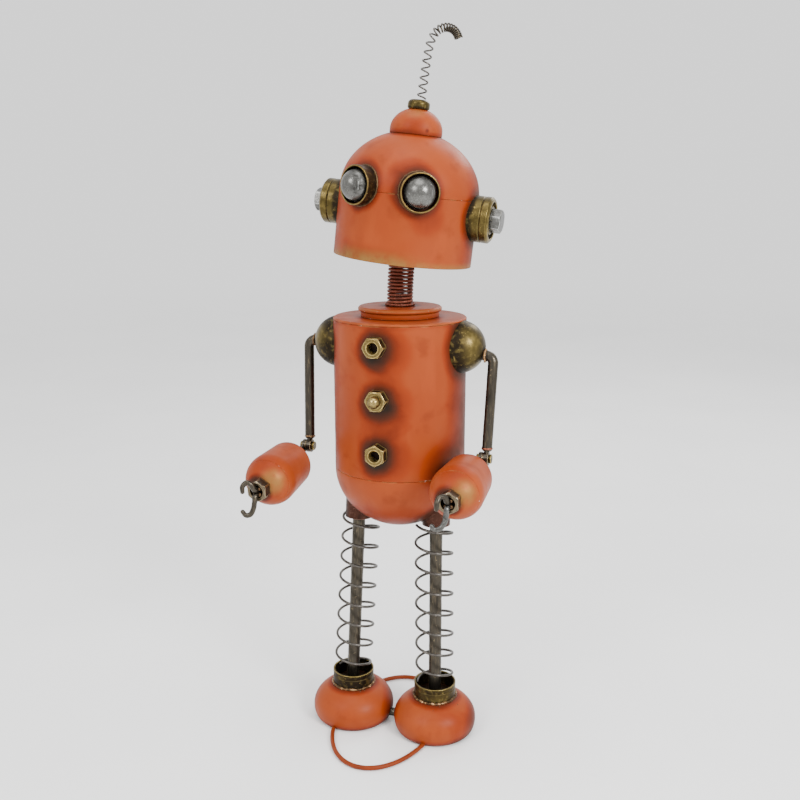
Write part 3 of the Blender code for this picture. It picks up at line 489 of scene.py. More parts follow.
def turned(name, outline, place, finish, body, nodes=(), corner=0.4, step=2.5, steps=128,
           uneven=0.0, **masks):
    """A turned piece. corner, step and uneven are in millimetres: the rounding of its corners, the
    longest run between two points, and how far its surface is pushed in, as hand-worked sheet is.
    """
    verts, faces = lathe(dense(rounded(outline, corner * MM), step * MM), steps)
    for i, (x, y, z) in enumerate(verts if uneven else ()):
        co = place @ Vector((x, y, z))
        dents, ripples = (0.5 + 0.5 * noise.noise(co * scale) for scale in (34, 110))
        flat = hypot(x, y)
        shrink = 1 - uneven * MM * (dents + 0.4 * ripples) / flat if flat > 4 * MM else 1.0
        verts[i] = (x * shrink, y * shrink, z)
    return piece(name, (verts, faces), finish, body, nodes, place=place, **masks)


def loft(rings):
    """A tube through rings of equal count, closed at both ends."""
    count = len(rings[0])
    last = len(rings) - 1
    faces = quads([(row, row + 1) for row in range(last)], count)
    ends = [tuple(range(count - 1, -1, -1)), tuple(range(last * count, (last + 1) * count))]
    return [tuple(p) for one in rings for p in one], faces + ends


def sweep(points, radius, sides=14, end=0.8, shape=(1.0, 1.0), wobble=0.0):
    """A rod along points. radius is a number or one for each point; end is how long its rounding is."""
    points = [Vector(p) for p in points]
    radii = list(radius) if hasattr(radius, "__len__") else [radius] * len(points)
    last = len(points) - 1
    tangents = [(points[min(i + 1, last)] - points[max(i - 1, 0)]).normalized() for i in range(last + 1)]
    normal = tangents[0].orthogonal().normalized()
    if abs(tangents[0].x) < 0.9:
        normal = (Vector((1, 0, 0)) - tangents[0] * tangents[0].x).normalized()
    rings = []

    def add_ring(centre, tangent, size):
        side = tangent.cross(normal).normalized()
        made = []
        for k in range(sides):
            t = 2 * pi * k / sides
            p = centre + normal * (size * shape[0] * cos(t))
            p += side * (size * shape[1] * sin(t))
            if wobble:
                p += (p - centre) * (wobble * noise.noise(p * 420))
            made.append(p)
        rings.append(made)

    for i, (point, tangent) in enumerate(zip(points, tangents)):
        normal = (normal - tangent * normal.dot(tangent)).normalized()
        away = -tangent if i == 0 else tangent
        for angle in {0: (80, 55, 28, 0), last: (0, 28, 55, 80)}.get(i, (0,)):
            t = radians(angle)
            add_ring(point + away * (radii[i] * end * sin(t)), tangent, radii[i] * cos(t))
    return loft(rings)


def smooth_path(corners, each=8):
    """Points along a Catmull-Rom curve through the corners."""
    corners = [Vector(c) for c in corners]
    ends = [2 * corners[0] - corners[1]] + corners + [2 * corners[-1] - corners[-2]]
    made = []
    for i in range(1, len(ends) - 2):
        a, b, c, d = ends[i - 1:i + 3]
        for k in range(each):
            t = k / each
            made.append(0.5 * (2 * b + (c - a) * t + (2 * a - 5 * b + 4 * c - d) * t * t
                               + (3 * b - a - 3 * c + d) * t ** 3))
    return made + [corners[-1]]


def circle(place, radius, count):
    return [place @ Vector(polar(radius, 2 * pi * i / count)) for i in range(count + 1)]


def weld(name, path, size, body, seed, finish=WELD, **masks):
    """A rippled weld bead along a path."""
    source = random.Random(seed)
    radii = []
    swell = 1.0
    for i in range(len(path)):
        swell += (source.uniform(0.72, 1.25) - swell) * 0.5
        radii.append(size * swell * (1 + 0.12 * sin(i * 1.9)))
    return piece(name, sweep(path, radii, 10, wobble=0.5), finish, body, edges=None, **masks)


def drops(name, centres, size, body, seed, finish=WELD):
    """Weld spatter: small beads joined in one piece."""
    source = random.Random(seed)
    verts = []
    faces = []
    for centre in centres:
        bead, bead_faces = lathe(ball(size * source.uniform(0.5, 1.15), 70, 5), 10)
        faces += [tuple(i + len(verts) for i in face) for face in bead_faces]
        verts += [Vector(v) + Vector(centre) for v in bead]
    return piece(name, (verts, faces), finish, body, edges=None)


def hexagon(angle, half):
    """Radius of a hexagon with slightly blunt corners, half across its flats."""
    side = pi / 3
    off = (angle + side / 2) % side - side / 2
    return min(half / cos(off), half * 2 / sqrt(3) - 0.22 * MM)


def hex_shape(flat, height, bore=None, spin=0.0, pitch=1.75 * MM, thread=0.55 * MM, columns=96):
    """A nut with a thread in its bore, or a bolt head where bore is None: along +Z from z = 0."""
    half = flat / 2
    corner = half * 2 / sqrt(3)
    face_r = half * 0.95
    cut = (corner - face_r) * tan(radians(32))
    rows = [(0.0, "side"), (height * 0.3, "side"), (height - cut * 1.15, "side")]
    rows += [(height - cut + cut * i / 6, "side") for i in range(7)]
    if bore:
        mouth = 0.7 * MM
        rows += [(height + 0.02 * MM, face_r - 0.3 * MM), (height, (face_r + bore) / 2),
                 (height, bore + mouth)]
        turns = ceil((height - mouth) / pitch * 7)
        rows += [(height - mouth - (height - mouth) * i / turns, "thread") for i in range(turns + 1)]
    else:
        rows += [(height + 0.05 * MM, face_r - 0.3 * MM), (height + 0.1 * MM, face_r * 0.6),
                 (height + 0.1 * MM, 0.0), (0.0, 0.0)]
    verts = []
    for z, kind in rows:
        for k in range(columns):
            angle = 2 * pi * k / columns
            if kind == "side":
                cone = face_r + (height - z) * (corner - face_r) / cut
                radius = min(hexagon(angle, half), cone)
            elif kind == "thread":
                wave = (z / pitch + angle / (2 * pi)) % 1
                radius = bore + thread * abs(2 * wave - 1)
            else:
                radius = kind
            verts.append(polar(radius, angle + spin, z))
    return verts, quads(closed_pairs([kind == 0.0 for _, kind in rows]), columns)


def aim(location, direction):
    """Matrix that puts a shape's origin at a location and its Z axis along a direction."""
    return move(location) @ Vector(direction).to_track_quat("Z", "Y").to_matrix().to_4x4()


# ---- torso

TORSO = move(AXIS)


def on_torso(x, y, z):
    return AXIS + Vector((x, y, z)) * MM


def sided(side, place):
    return AXIS + Vector((side * place.x, place.y, place.z))


def above(z):
    """The torso's frame, lifted to a height."""
    return move(AXIS + Vector((0, 0, z)))


CHEST = (  # nut, height, turn about the torso's axis, spin about its own
    ("chest_nut_upper", 382.3, radians(-2.4), radians(30)),
    ("chest_nut_middle", 335.1, radians(-0.6), radians(30)),
    ("chest_nut_lower", 285.8, radians(-1.3), 0.0),
)


def build_torso():
    seam, top = TUBE_LOW.z, TUBE_HIGH.z
    wall = TORSO_R - SHEET
    # Painted shadow of the left forearm, with airbrush, and painted shade along both side edges as seen and
    # on the back.
    dark = [spot(on_torso(53, -32, 268), 3, 38, 0.66),
            flank(TORSO, (1, 0.35, 0), TORSO_R, 0.5, 0.6),
            flank(TORSO, (-1, -0.3, 0), TORSO_R, 0.8, 0.3),
            flank(TORSO, (0, 1, 0), TORSO_R, 0.3, 0.3), level(TORSO, top, top - 5 * MM, 0.16)]
    # Airbrushed halos round the chest nuts, which also paint the shade where the nuts meet the torso.
    for _, z, turn, _ in CHEST:
        x = 62 * sin(turn)
        dark += [spot(on_torso(x, -62, z - 3), 6, 24, 0.92),
                 spot(on_torso(x + 7, -60, z - 5), 12, 36, 0.33)]
    # Painted shade round the shoulder domes.
    dark += [spot(sided(side, SHOULDER), 24, 37, 0.5) for _, side in SIDES]
    turned("tube_shell", [(wall, seam), (TORSO_R, seam), (TORSO_R, top), (wall, top)], TORSO, PAINT, "base",
           ["torso_tube"], step=2, steps=200, uneven=DENTS, dark=dark)
    depth = BOWL_HIGH.z - BOWL_LOW.z
    centre = (0, BOWL_HIGH.z)
    outline = arc(centre, (TORSO_R, depth), 0, -90, 40)
    outline += arc(centre, (wall, depth - SHEET), -90, 0, 20)
    # Painted shade round the hip cups and towards the bowl's bottom, along its side edge, and the left
    # forearm's painted shadow.
    dark = [spot(on_torso(side * 38, -8, 214), 20, 36, 0.72) for _, side in SIDES]
    dark += [flank(TORSO, (1, 0.35, 0), TORSO_R, 0.5, 0.5), level(TORSO, 214 * MM, 250 * MM, 0.3),
             spot(on_torso(53, -32, 266), 3, 36, 0.6)]
    turned("bowl_shell", outline, TORSO, PAINT, "base", ["torso_bowl"], step=4, steps=200,
           uneven=DENTS, dark=dark)
    low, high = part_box("torso_lid")
    nick = 1.1 * MM
    turned("lid_plate", [(0, low.z), (TORSO_R, low.z), (TORSO_R, high.z - nick), (TORSO_R - nick, high.z),
                         (0, high.z)], TORSO, PAINT, "base", ["torso_lid"], 0.35, steps=200,
           # Painted shade round the neck disc's foot; the gold along the rim is rubbed gold with a painted
           # highlight.
           uneven=DENTS / 2, dark=[spot(on_torso(0, 0, 402), 36, 48, 0.4)],
           gold=[ring(above(high.z), TORSO_R, 1.4 * MM, 0.4)])
    low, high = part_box("neck_disc")
    disc = (high.x - low.x) / 2
    z, roof = low.z, low.z + 6.5 * MM
    turned("disc_cup", [
        (0, roof), (disc - 4.5 * MM, roof), (disc - 4.5 * MM, z), (disc - 2.5 * MM, z),
        (disc - 2.5 * MM, z + 4.4 * MM), (disc, z + 6 * MM), (disc, high.z - 1.6 * MM),
        (disc - 1.6 * MM, high.z), (0, high.z),
    ], TORSO, PAINT, "base", ["neck_disc"], 0.5, steps=160, uneven=DENTS / 2,
        # Painted shade round the spring's foot and at the disc's foot; the gold on its rim is rubbed gold
        # with a painted highlight.
        dark=[spot(NECK_BASE, 13, 24, 0.7), level(TORSO, z, z + 5 * MM, 0.3)],
        gold=[ring(above(high.z - MM), disc, 2 * MM, 0.4)])


def build_chest():
    height = 9.9 * MM
    for name, z, turn, spin in CHEST:
        facing = Vector((sin(turn), -cos(turn), 0))
        place = aim(AXIS + facing * (TORSO_R - 0.9 * MM) + Vector((0, 0, z * MM)), facing)
        piece(name + "_fine", hex_shape(NUT_FLAT, height, 4.75 * MM, spin), BRIGHT_BRASS, "base", [name],
              dark=[level(place, 0, 7.5 * MM, 0.9)],
              gold=[level(place, height + MM, height - 1.2 * MM, 0.3)], place=place)
    centre = middle("chest_ball")
    turned("chest_ball_fine", ball(5.5 * MM, 80, 20), move(centre), BRIGHT_BRASS, "base",
           ["chest_ball"], 0.01, steps=48,
           # A painted highlight on the ball's front.
           gold=[spot(centre + Vector((0.5, -4, 2)) * MM, 1, 7, 0.7)])


# ---- neck

def helix(place, radius, turns, count, hand=1):
    """Points along a coil. place, radius and turns are functions of the share from 0 to 1."""
    made = []
    for i in range(count + 1):
        share = i / count
        t = hand * 2 * pi * turns(share)
        made.append(place(share) @ Vector(polar(radius(share), t)))
    return made


def build_neck():
    low = NECK_WIRE_R + 0.3 * MM
    high = NECK_LENGTH - NECK_WIRE_R - 0.3 * MM
    points = helix(lambda t: neck_frame(low + (high - low) * t), lambda t: NECK_COIL_R,
                   lambda t: NECK_TURNS * t, 40 * NECK_TURNS)
    meet = round(len(points) * 0.5)
    spans = (
        ("neck_coil_low", points[:meet + 1], "neck_low", "neck_mid", 9.7 * MM, 23.7 * MM,
         ["neck_spring_lower"]),
        ("neck_coil_high", points[meet:], "neck_mid", "head", 24.8 * MM, 38.8 * MM,
         ["neck_spring_middle", "neck_spring_upper"]),
    )
    for name, path, below, above, start, end, nodes in spans:
        coil = piece(name, sweep(path, NECK_WIRE_R, 14, end=0.3), COPPER, None, nodes, edges=None,
                     # Painted shade on the turns under the head; brighter on the lowest turns.
                     dark=[level(HEAD, 2 * MM, -16 * MM, 0.9)],
                     gold=[level(TORSO, 412 * MM, 420 * MM, 0.3)])
        neck_frame(start).translation
        neck_frame(end).translation
        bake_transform(coil)
    foot = move(NECK_BASE + Vector((0, 0, 1.5 * MM)))
    weld("neck_foot_weld", circle(foot, NECK_COIL_R + 1.7 * MM, 90), 1.3 * MM, "base", 3, COPPER)
    keep("neck_plug_lower", DARK)
    keep("neck_plug_upper", DARK)


def keep(node, finish):
    """Gives a CAD node that stays in view its finish."""
    mesh = bpy.data.objects[node].data
    mesh.materials.clear()
    mesh.materials.append(finish)


# ---- head

def on_head(x, y, z):
    return HEAD @ (Vector((x, y, z)) * MM)


def dome_height(radius):
    return HEAD_SEAM_Z + 0.15 * MM + HEAD_DOME_H * sqrt(max(0.0, 1 - (radius / HEAD_R) ** 2))


def build_head():
    wall = HEAD_R - SHEET
    eyes = [HEAD @ Vector((side * sin(EYE_ANGLE) * HEAD_R, -cos(EYE_ANGLE) * HEAD_R, EYE_Z))
            for _, side in SIDES]
    # Airbrushed halos round and above the eyes, which also paint the shade where the tubes meet the head.
    dark = [spot(eye, 15, 26, 0.55) for eye in eyes]
    dark += [spot(eye + HEAD.to_3x3() @ (Vector((-7, 0, 6)) * MM), 12, 31, 0.4) for eye in eyes]
    dark += [spot(on_head(34, -52, 36), 6, 26, 0.26)]
    # Painted shade round the ears.
    dark += [spot(on_head(side * 63, 0, EAR_Z / MM), 20, 31, 0.55) for _, side in SIDES]
    front = spot(on_head(-14, -63, -4), 18, 62, 0.9)
    rim, smoke_and_shade = level(HEAD, HEAD_RIM_Z, 9 * MM, 0.85), level(HEAD, -2 * MM, 16 * MM, 0.32)
    # Darker low on the band's front, and painted shade along both side edges as seen.
    dark += [lambda p: front(p) * smoke_and_shade(p), flank(HEAD, (1, 0.35, 0), HEAD_R, 0.6, 0.4),
             flank(HEAD, (-1, -0.2, 0), HEAD_R, 0.7, 0.32)]
    low, high = HEAD_RIM_Z, HEAD_SEAM_Z - SEAM
    turned("band_shell", [(wall, low), (HEAD_R, low), (HEAD_R, high), (wall, high)], HEAD, PAINT, "head",
           ["head_band"], 0.35, 2, 200, DENTS, dark=dark,
           gold=[level(HEAD, HEAD_RIM_Z, 0.5 * MM, 0.6), lambda p: front(p) * rim(p)])
    centre = (0, HEAD_SEAM_Z + SEAM)
    outline = arc(centre, (HEAD_R, HEAD_DOME_H), 0, 90, 40)
    outline += arc(centre, (wall, HEAD_DOME_H - SHEET), 90, 0, 20)
    knob_foot = HEAD @ Vector((0, 0, dome_height(KNOB_R)))
    knob_ring = move(knob_foot) @ HEAD.to_3x3().to_4x4()
    turned("dome_shell", outline, HEAD, PAINT, "head", ["head_dome"], 0.35, 4, 200, DENTS,
           # Painted shade round the knob's foot.
           dark=dark + [ring(knob_ring, KNOB_R, 9 * MM, 0.45)])
    foot = dome_height(KNOB_R) + 0.3 * MM
    centre = (0, foot + KNOB_SIDE)
    shell = [(KNOB_R, foot)] + arc(centre, (KNOB_R, KNOB_H), 0, KNOB_TOP, 28)
    top = shell[-1][1]
    shell += [(3.5 * MM, top), (3.5 * MM, top - SHEET)]
    shell += arc(centre, (KNOB_R - SHEET, KNOB_H - SHEET), KNOB_TOP - 2, 0, 12)
    shell += [(KNOB_R - SHEET, foot + 0.3 * MM)]
    turned("knob_shell", shell, HEAD, PAINT, "head", ["head_knob"], 0.35, 2, 160, DENTS,
           dark=[spot(on_head(4, -22, foot / MM + 7), 2, 17, 0.26),
                 spot(on_head(15, -17, foot / MM + 4), 0.2, 2.6, 0.6),
                 # Painted shade round the ferrule's foot and at the knob's foot.
                 spot(on_head(0, 0, top / MM), 9, 14, 0.4),
                 level(HEAD, foot, foot + 5 * MM, 0.35)],
           # A painted highlight on the knob's top.
           gold=[spot(on_head(2, -13, top / MM - 3), 2, 12, 0.35)])
    z = top + 0.3 * MM
    end = z + CAP_H
    turned("antenna_ferrule", [(0, z), (CAP_R - 0.6 * MM, z), (CAP_R, z + MM), (CAP_R, end - 3 * MM),
                               (CAP_R - 0.9 * MM, end - 1.2 * MM), (CAP_R - 3 * MM, end), (0, end)],
           HEAD, BRASS, "head", ["antenna_cap"], 0.9, 1, 96, 0.25,
           dark=[level(HEAD, z, z + 3 * MM, 0.7)])
    keep("head_floor", PAINT)
    return end


def build_eyes():
    length = EYE_TUBE_OUT + 4 * MM
    bore = EYE_TUBE_R - 1.5 * MM
    seat = bore - 3 * MM
    ball_at = length - 3.6 * MM
    for name, side in SIDES:
        out = Vector((side * sin(EYE_ANGLE), -cos(EYE_ANGLE), 0))
        place = HEAD @ aim(out * (HEAD_R - 4 * MM) + Vector((0, 0, EYE_Z)), out)
        turned(f"eye_ring_{name}", [
            (seat, -3 * MM), (EYE_TUBE_R, -3 * MM), (EYE_TUBE_R, length - 0.6 * MM),
            (EYE_TUBE_R - 0.5 * MM, length), (bore, length), (bore, ball_at - 8 * MM),
            (seat, ball_at - 8 * MM),
        ], place, EYE_BRASS, "head", [f"eye_tube_{name}"], 0.45, 0.9, 120, 0.12,
            dark=[level(place, 0, length - 1.2 * MM, 0.9)], edges=(24, 50),
            gold=[level(place, length, length - 0.5 * MM, 0.7)])
        centre = place @ move((0, 0, ball_at)) @ Matrix.Rotation(0.7 + side, 4, "X")
        turned(f"eye_steel_{name}", ball(EYE_BALL_R, 85, 40), centre, STEEL, "head", [f"eye_ball_{name}"],
               0.01, steps=96)
        weld(f"eye_weld_{name}", [HEAD @ p for p in eye_joint(out)], 0.8 * MM, "head", 11 + side)


def eye_joint(out):
    """Where an eye tube's outside meets the head, in the head's frame."""
    across = Vector((-out.y, out.x, 0))
    made = []
    for i in range(91):
        t = 2 * pi * i / 90
        aside, z = EYE_TUBE_R * cos(t), EYE_Z + EYE_TUBE_R * sin(t)
        radius = HEAD_R * sqrt(max(0.0, 1 - (max(0.0, z - HEAD_SEAM_Z) / HEAD_DOME_H) ** 2))
        made.append(out * sqrt(radius ** 2 - aside ** 2) + across * aside + Vector((0, 0, z)))
    return made


def build_ears():
    width = EAR_W + 5 * MM
    mid = width - EAR_W / 2
    groove = 0.8 * MM
    hub = 4.3 * MM
    for name, side in SIDES:
        out = Vector((side, 0, 0))
        place = HEAD @ aim(out * (HEAD_R - 5 * MM) + Vector((0, 0, EAR_Z)), out)

        def lifted(z):
            return place @ move((0, 0, z))

        turned(f"ear_shell_{name}", [
            (hub, 0), (EAR_R, 0), (EAR_R, mid - groove), (EAR_R - groove, mid), (EAR_R, mid + groove),
            (EAR_R, width - 2 * MM), (EAR_R - 2.2 * MM, width), (EAR_R - 4 * MM, width),
            (EAR_R - 4.6 * MM, width - 3 * MM), (EAR_R - 7.6 * MM, width - 3 * MM),
            (EAR_R - 8 * MM, width - groove), (hub, width - groove),
        ], place, BRASS, "head", [f"ear_drum_{name}"], 0.4, 1.2, 144, 0.15,
            dark=[ring(lifted(width - 2.4 * MM), EAR_R - 6 * MM, 4.4 * MM, 1.0),
                  ring(lifted(mid), EAR_R, 1.3 * MM, 0.9), level(place, 4 * MM, 9 * MM, 0.8)],
            gold=[ring(lifted(width), EAR_R - 2.4 * MM, 2.4 * MM, 0.5)])
        bolt = lifted(width - 0.5 * MM)
        piece(f"ear_head_{name}", hex_shape(19 * MM, 9.1 * MM, None, radians(10)), STEEL, "head",
              [f"ear_bolt_{name}"], place=bolt, dark=[level(bolt, 0, 4 * MM, 0.5)])


ANTENNA_PATH = ((1.8, 0), (1.7, 4), (2, 12), (2.3, 20), (2.6, 28), (3.1, 37), (4.2, 46), (6.2, 52),
                (9.2, 56.4), (13.4, 59), (18.2, 59.9), (22.8, 58.7), (26.6, 55.8), (29, 51.8))
ANTENNA_SPLIT = 0.69


def build_antenna(base):
    """One wire: an open coil that winds close towards its drooping tip."""
    lift = HEAD @ move((0, 0, base + 1.05 * MM))
    line = smooth_path([Vector((x, 0, z)) * MM for x, z in ANTENNA_PATH], 16)
    lengths = np.concatenate([[0], np.cumsum([(b - a).length for a, b in zip(line, line[1:])])])
    xs = np.array([p.x for p in line])
    zs = np.array([p.z for p in line])

    def centre(share):
        s = share * lengths[-1]
        x, z = np.interp(s, lengths, xs), np.interp(s, lengths, zs)
        before, after = max(0, s - 2 * MM), min(lengths[-1], s + 2 * MM)
        run = (np.interp(after, lengths, xs) - np.interp(before, lengths, xs),
               np.interp(after, lengths, zs) - np.interp(before, lengths, zs))
        return lift @ move((x, 0, z)) @ Matrix.Rotation(atan2(*run), 4, "Y")

    def turns(share):
        eased = max(0.0, share - 0.62)
        return share * 8 / ANTENNA_SPLIT + eased * eased * 62

    count = 900
    points = helix(centre, lambda t: (3.6 - 0.5 * t) * MM, turns, count, hand=-1)
    meet = round(count * ANTENNA_SPLIT)
    spans = (
        ("antenna_coil", points[:meet + 1], "head", "antenna_low", 0.0, 0.3, "antenna_spring"),
        ("antenna_curl", points[meet:], "antenna_low", "antenna_end", ANTENNA_SPLIT, 0.84, "antenna_tip"),
    )
    for name, path, below, above, start, end, node in spans:
        finish = WIRE if name == "antenna_coil" else DARK
        coil = piece(name, sweep(path, 0.75 * MM, 9, end=0.4), finish, None, [node], edges=None)
        centre(start).translation
        centre(end).translation
        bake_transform(coil)


# ---- arms

CLAWS = {
    ("lower", "left"): ((0, -2.6, -6), (0, -2.8, 2.4), (-0.3, -8, 4.2), (-1, -13.6, 6),
                        (-4, -18.4, 8), (-8.4, -19.6, 9.5), (-11, -16.4, 10.5)),
    ("lower", "right"): ((0, -2.6, -6), (0, -2.8, 2.4), (-0.3, -8, 4.2), (-0.8, -13.2, 6),
                         (-3, -18.2, 8), (-7, -19.2, 9.5), (-9.6, -15.4, 10.5)),
    ("upper", "left"): ((0, 2.6, -6), (0, 2.8, 2.4), (-1, 7.4, 4.6), (-4.4, 8.6, 8), (-6, 4.6, 12),
                        (-6, -0.6, 13)),
    ("upper", "right"): ((0, 2.6, -6), (0, 2.8, 2.4), (-2.4, 8.2, 4), (-6.2, 10.4, 5.5),
                         (-9, 7.4, 8), (-8.6, 2.8, 9.5)),
}


def rough_radii(radius, path, seed):
    """A radius for each point of a forged rod, a little uneven."""
    source = random.Random(seed)
    return [radius * source.uniform(0.975, 1.0) for _ in path]


def eye_outline(radius, bore, half):
    return [(bore, -half), (radius, -half), (radius, half), (bore, half)]


def build_arm(name, side):
    slant, length, offset, drop = ARMS[name]
    shoulder = JOINTS[f"shoulder_{name}"]
    out = Vector((side, 0, 0))
    body = f"arm_{name}"
    dome_at = aim(sided(side, SHOULDER), out)
    outline = arc((0, 0), (SHOULDER_R, SHOULDER_R), -14, 90, 36)
    outline += arc((0, 0), (SHOULDER_R - 1.5 * MM, SHOULDER_R - 1.5 * MM), 90, -14, 18)
    exit_at = shoulder + out * (SHOULDER_R - MM)
    turned(f"shoulder_shell_{name}", outline, dome_at, BRASS, "base", [f"shoulder_dome_{name}"],
           0.3, 3, uneven=0.25,
           # A painted highlight on the dome.
           gold=[spot(on_torso(side * 74, -20, 384), 2, 14, 0.3)],
           dark=[level(dome_at, 2 * MM, 22 * MM, 0.9), spot(exit_at, 6, 11, 0.8)])

    swing = move(shoulder) @ Matrix.Rotation(-slant, 4, "X")
    corner = out * ARM_REACH
    down = Vector((-side * sin(ARM_TOE), 0, -cos(ARM_TOE)))
    bend = 7 * MM
    path = [out * (TORSO_R - STUB_INSIDE - SHOULDER.x)]
    for i in range(13):
        t = radians(90) * i / 12
        path.append(corner - out * bend * (1 - sin(t)) + down * bend * (1 - cos(t)))
    elbow = corner + down * length
    straight = [path[-1].lerp(elbow - down * 8.6 * MM, i / 40) for i in range(1, 41)]
    path = [swing @ p for p in path + straight]
    piece(f"rod_{name}", sweep(path, rough_radii(ROD_R, path, 20 + side), 28, end=0.5), DARK, body,
          [f"arm_rod_{name}"], edges=None)
    tab = [swing @ (elbow - down * d * MM) for d in (12, 10, 8, 6, 4.5)]
    piece(f"rod_tab_{name}", sweep(tab, [3.6 * MM, 4.4 * MM] + [4.7 * MM] * 3, 24, 0.4, (0.53, 1.0)),
          DARK, body, edges=None)
    elbow_at = swing @ elbow
    axle = aim(elbow_at, (1, 0, 0))
    turned(f"rod_eye_{name}", eye_outline(6.5 * MM, 2.65 * MM, 2.5 * MM), axle, DARK, body,
           corner=0.7, step=1, steps=64, uneven=0.15)
    pin = ((0, -9.1), (4, -9.1), (4, -7.1), (2.5, -7.1), (2.5, 2.8), (4.4, 2.8), (4.4, 5), (0, 5))
    turned(f"pin_{name}", [(r * MM, z * MM) for r, z in pin], axle, BRASS, body, [f"elbow_pin_{name}"],
           0.6, 1, 48, 0.1)
    collar = aim(swing @ (elbow - down * 9.4 * MM), swing.to_3x3() @ down)
    weld(f"elbow_weld_{name}", circle(collar, ROD_R - 0.6 * MM, 44), 1.1 * MM, body, 40 + side,
         COPPER if name == "left" else WELD, gold=[even(0.35)])
    dome_out = sqrt(SHOULDER_R ** 2 - (SHOULDER.z - shoulder.z) ** 2)
    stub = aim(shoulder + out * (dome_out + 1.2 * MM), out)
    weld(f"stub_weld_{name}", circle(stub, ROD_R + 0.2 * MM, 44), 1.2 * MM, body, 50 + side,
         gold=[even(0.7 if name == "left" else 0.1)])
    keep(f"shoulder_nut_{name}", DARK)
    build_forearm(name, elbow_at, offset, drop)


def build_forearm(name, elbow, offset, drop):
    body = f"forearm_{name}"
    fore = move(elbow) @ Matrix.Rotation(radians(90) + drop, 4, "X")
    rear_ring = Vector((-offset, -11.9 * MM, 24.2 * MM))
    place = fore @ move(rear_ring)

    def near(x, y, z, inner, outer, strength):
        return spot(place @ Vector((x * MM, y * MM, z)), inner, outer, strength)

    def dome_arc(radius, start, end, count):
        """Arc on the front dome. Ends are whole degrees, or a height above the dome's foot."""
        first, last = (a if isinstance(a, int) else degrees(asin(a / radius))
                       for a in (start, end))
        return arc((0, FOREARM_TUBE), (radius, radius), first, last, count)

    wall = FOREARM_R - SHEET
    outline = arc((0, 0), (FOREARM_REAR_R, FOREARM_REAR_DEPTH), -90, 0, 22)
    outline += dome_arc(FOREARM_R, 0, FOREARM_SEAM, 6) + dome_arc(wall, FOREARM_SEAM, 0, 3)
    outline += arc((0, 0), (FOREARM_REAR_R - SHEET, FOREARM_REAR_DEPTH - SHEET), 0, -90, 12)
    face = FOREARM_TUBE + sqrt(FOREARM_R ** 2 - (NUT_FLAT / 2) ** 2) + 0.3 * MM
    dark = [near(-3, -2, face, 9, 17, 0.8), near(0, 14, face - 14 * MM, 3, 24, 0.3),
            near(0, 12, -4 * MM, 4, 18, 0.5)]
    turned(f"forearm_shell_rear_{name}", outline, place, PAINT, body, [f"forearm_rear_{name}"],
           0.3, 2, uneven=0.22, dark=dark)
    lip = FOREARM_SEAM + 0.3 * MM
    outline = dome_arc(FOREARM_R, lip, 76, 24) + dome_arc(wall, 75, lip, 10)
    turned(f"forearm_shell_front_{name}", outline, place, PAINT, body, [f"forearm_front_{name}"],
           # A painted highlight beside the hand nut.
           0.3, 2, uneven=0.22, dark=dark, gold=[near(11, 6, face - 3 * MM, 3, 16, 0.8)])

    lug = Vector((-4.8 * MM, 0, 0))
    bar = Vector((lug.x, rear_ring.y, rear_ring.z)) - lug
    into = sqrt(FOREARM_REAR_R ** 2 - (rear_ring.x - lug.x) ** 2) / FOREARM_REAR_R
    end = bar - bar.normalized() * (FOREARM_REAR_DEPTH * 0.5 + FOREARM_REAR_R * 0.38) * into
    path = [fore @ (lug + end * (0.22 + 0.78 * i / 8)) for i in range(9)]
    piece(f"lug_bar_{name}", sweep(path, 4.9 * MM, 24, 0.3, (0.42, 1.0)), DARK, body, edges=None)
    turned(f"lug_eye_{name}", eye_outline(6 * MM, 2.8 * MM, 2 * MM), aim(fore @ lug, (1, 0, 0)), DARK,
           body, corner=0.6, step=1, steps=64, uneven=0.12)

    nut_at = place @ move((0, 0, face - MM))
    height = HAND_NUT_T + MM
    piece(f"hand_nut_fine_{name}", hex_shape(NUT_FLAT, height, 5.7 * MM), DARK, body,
          [f"hand_nut_{name}"], place=nut_at, gold=[level(nut_at, height, height - 0.7 * MM, 0.45)])
    mouth = rear_ring + Vector((0, 0, face + HAND_NUT_T))
    for label in ("upper", "lower"):
        corners = [Vector(p) * MM for p in CLAWS[label, name]]
        path = [fore @ (mouth + p) for p in smooth_path(corners, 10)]
        count = len(path)
        radii = [2.4 * MM * (1 - 0.2 * max(0, i / count - 0.7) / 0.3) for i in range(count)]
        finish = STEEL if (label, name) == ("lower", "left") else DARK
        piece(f"finger_{label}_{name}", sweep(path, radii, 18, 0.9), finish, body,
              [f"claw_{label}_{name}"], edges=None, slot="dark_steel")
    beads = ((-2.6, 2.2), (2.5, 2.6), (-2.7, -2.4), (2.6, -2.6), (0, 0.2))
    drops(f"hand_weld_{name}", [fore @ (mouth + Vector((x, y, -1.2)) * MM) for x, y in beads],
          1.9 * MM, body, 60)


# ---- legs and feet

SPRING_SHIFT = {"left": (-2.2 * MM, -0.3 * MM), "right": (2.4 * MM, -0.4 * MM)}
LEG_TURNS = 7.75


def foot_outline():
    tuck = arc((SOLE_R, FOOT_WIDEST_Z), (FOOT_R - SOLE_R, FOOT_WIDEST_Z), -80, 0, 16)
    height = FOOT_TOP_Z - FOOT_WIDEST_Z
    dome = arc((0, FOOT_WIDEST_Z), (FOOT_R, height), 0, 90, 40)[1:]
    inside = arc((0, FOOT_WIDEST_Z), (FOOT_R - SHEET, height - SHEET), 90, 0, 16)
    inside += [(SOLE_R - SHEET, 2 * MM), (SOLE_R - 6 * MM, 2 * MM), (SOLE_R - 6 * MM, 0)]
    return [(SOLE_R, 0)] + tuck[1:] + dome + inside


def on_foot(radius):
    """Height of a foot's dome at a radius."""
    return FOOT_WIDEST_Z + (FOOT_TOP_Z - FOOT_WIDEST_Z) * sqrt(1 - (radius / FOOT_R) ** 2)


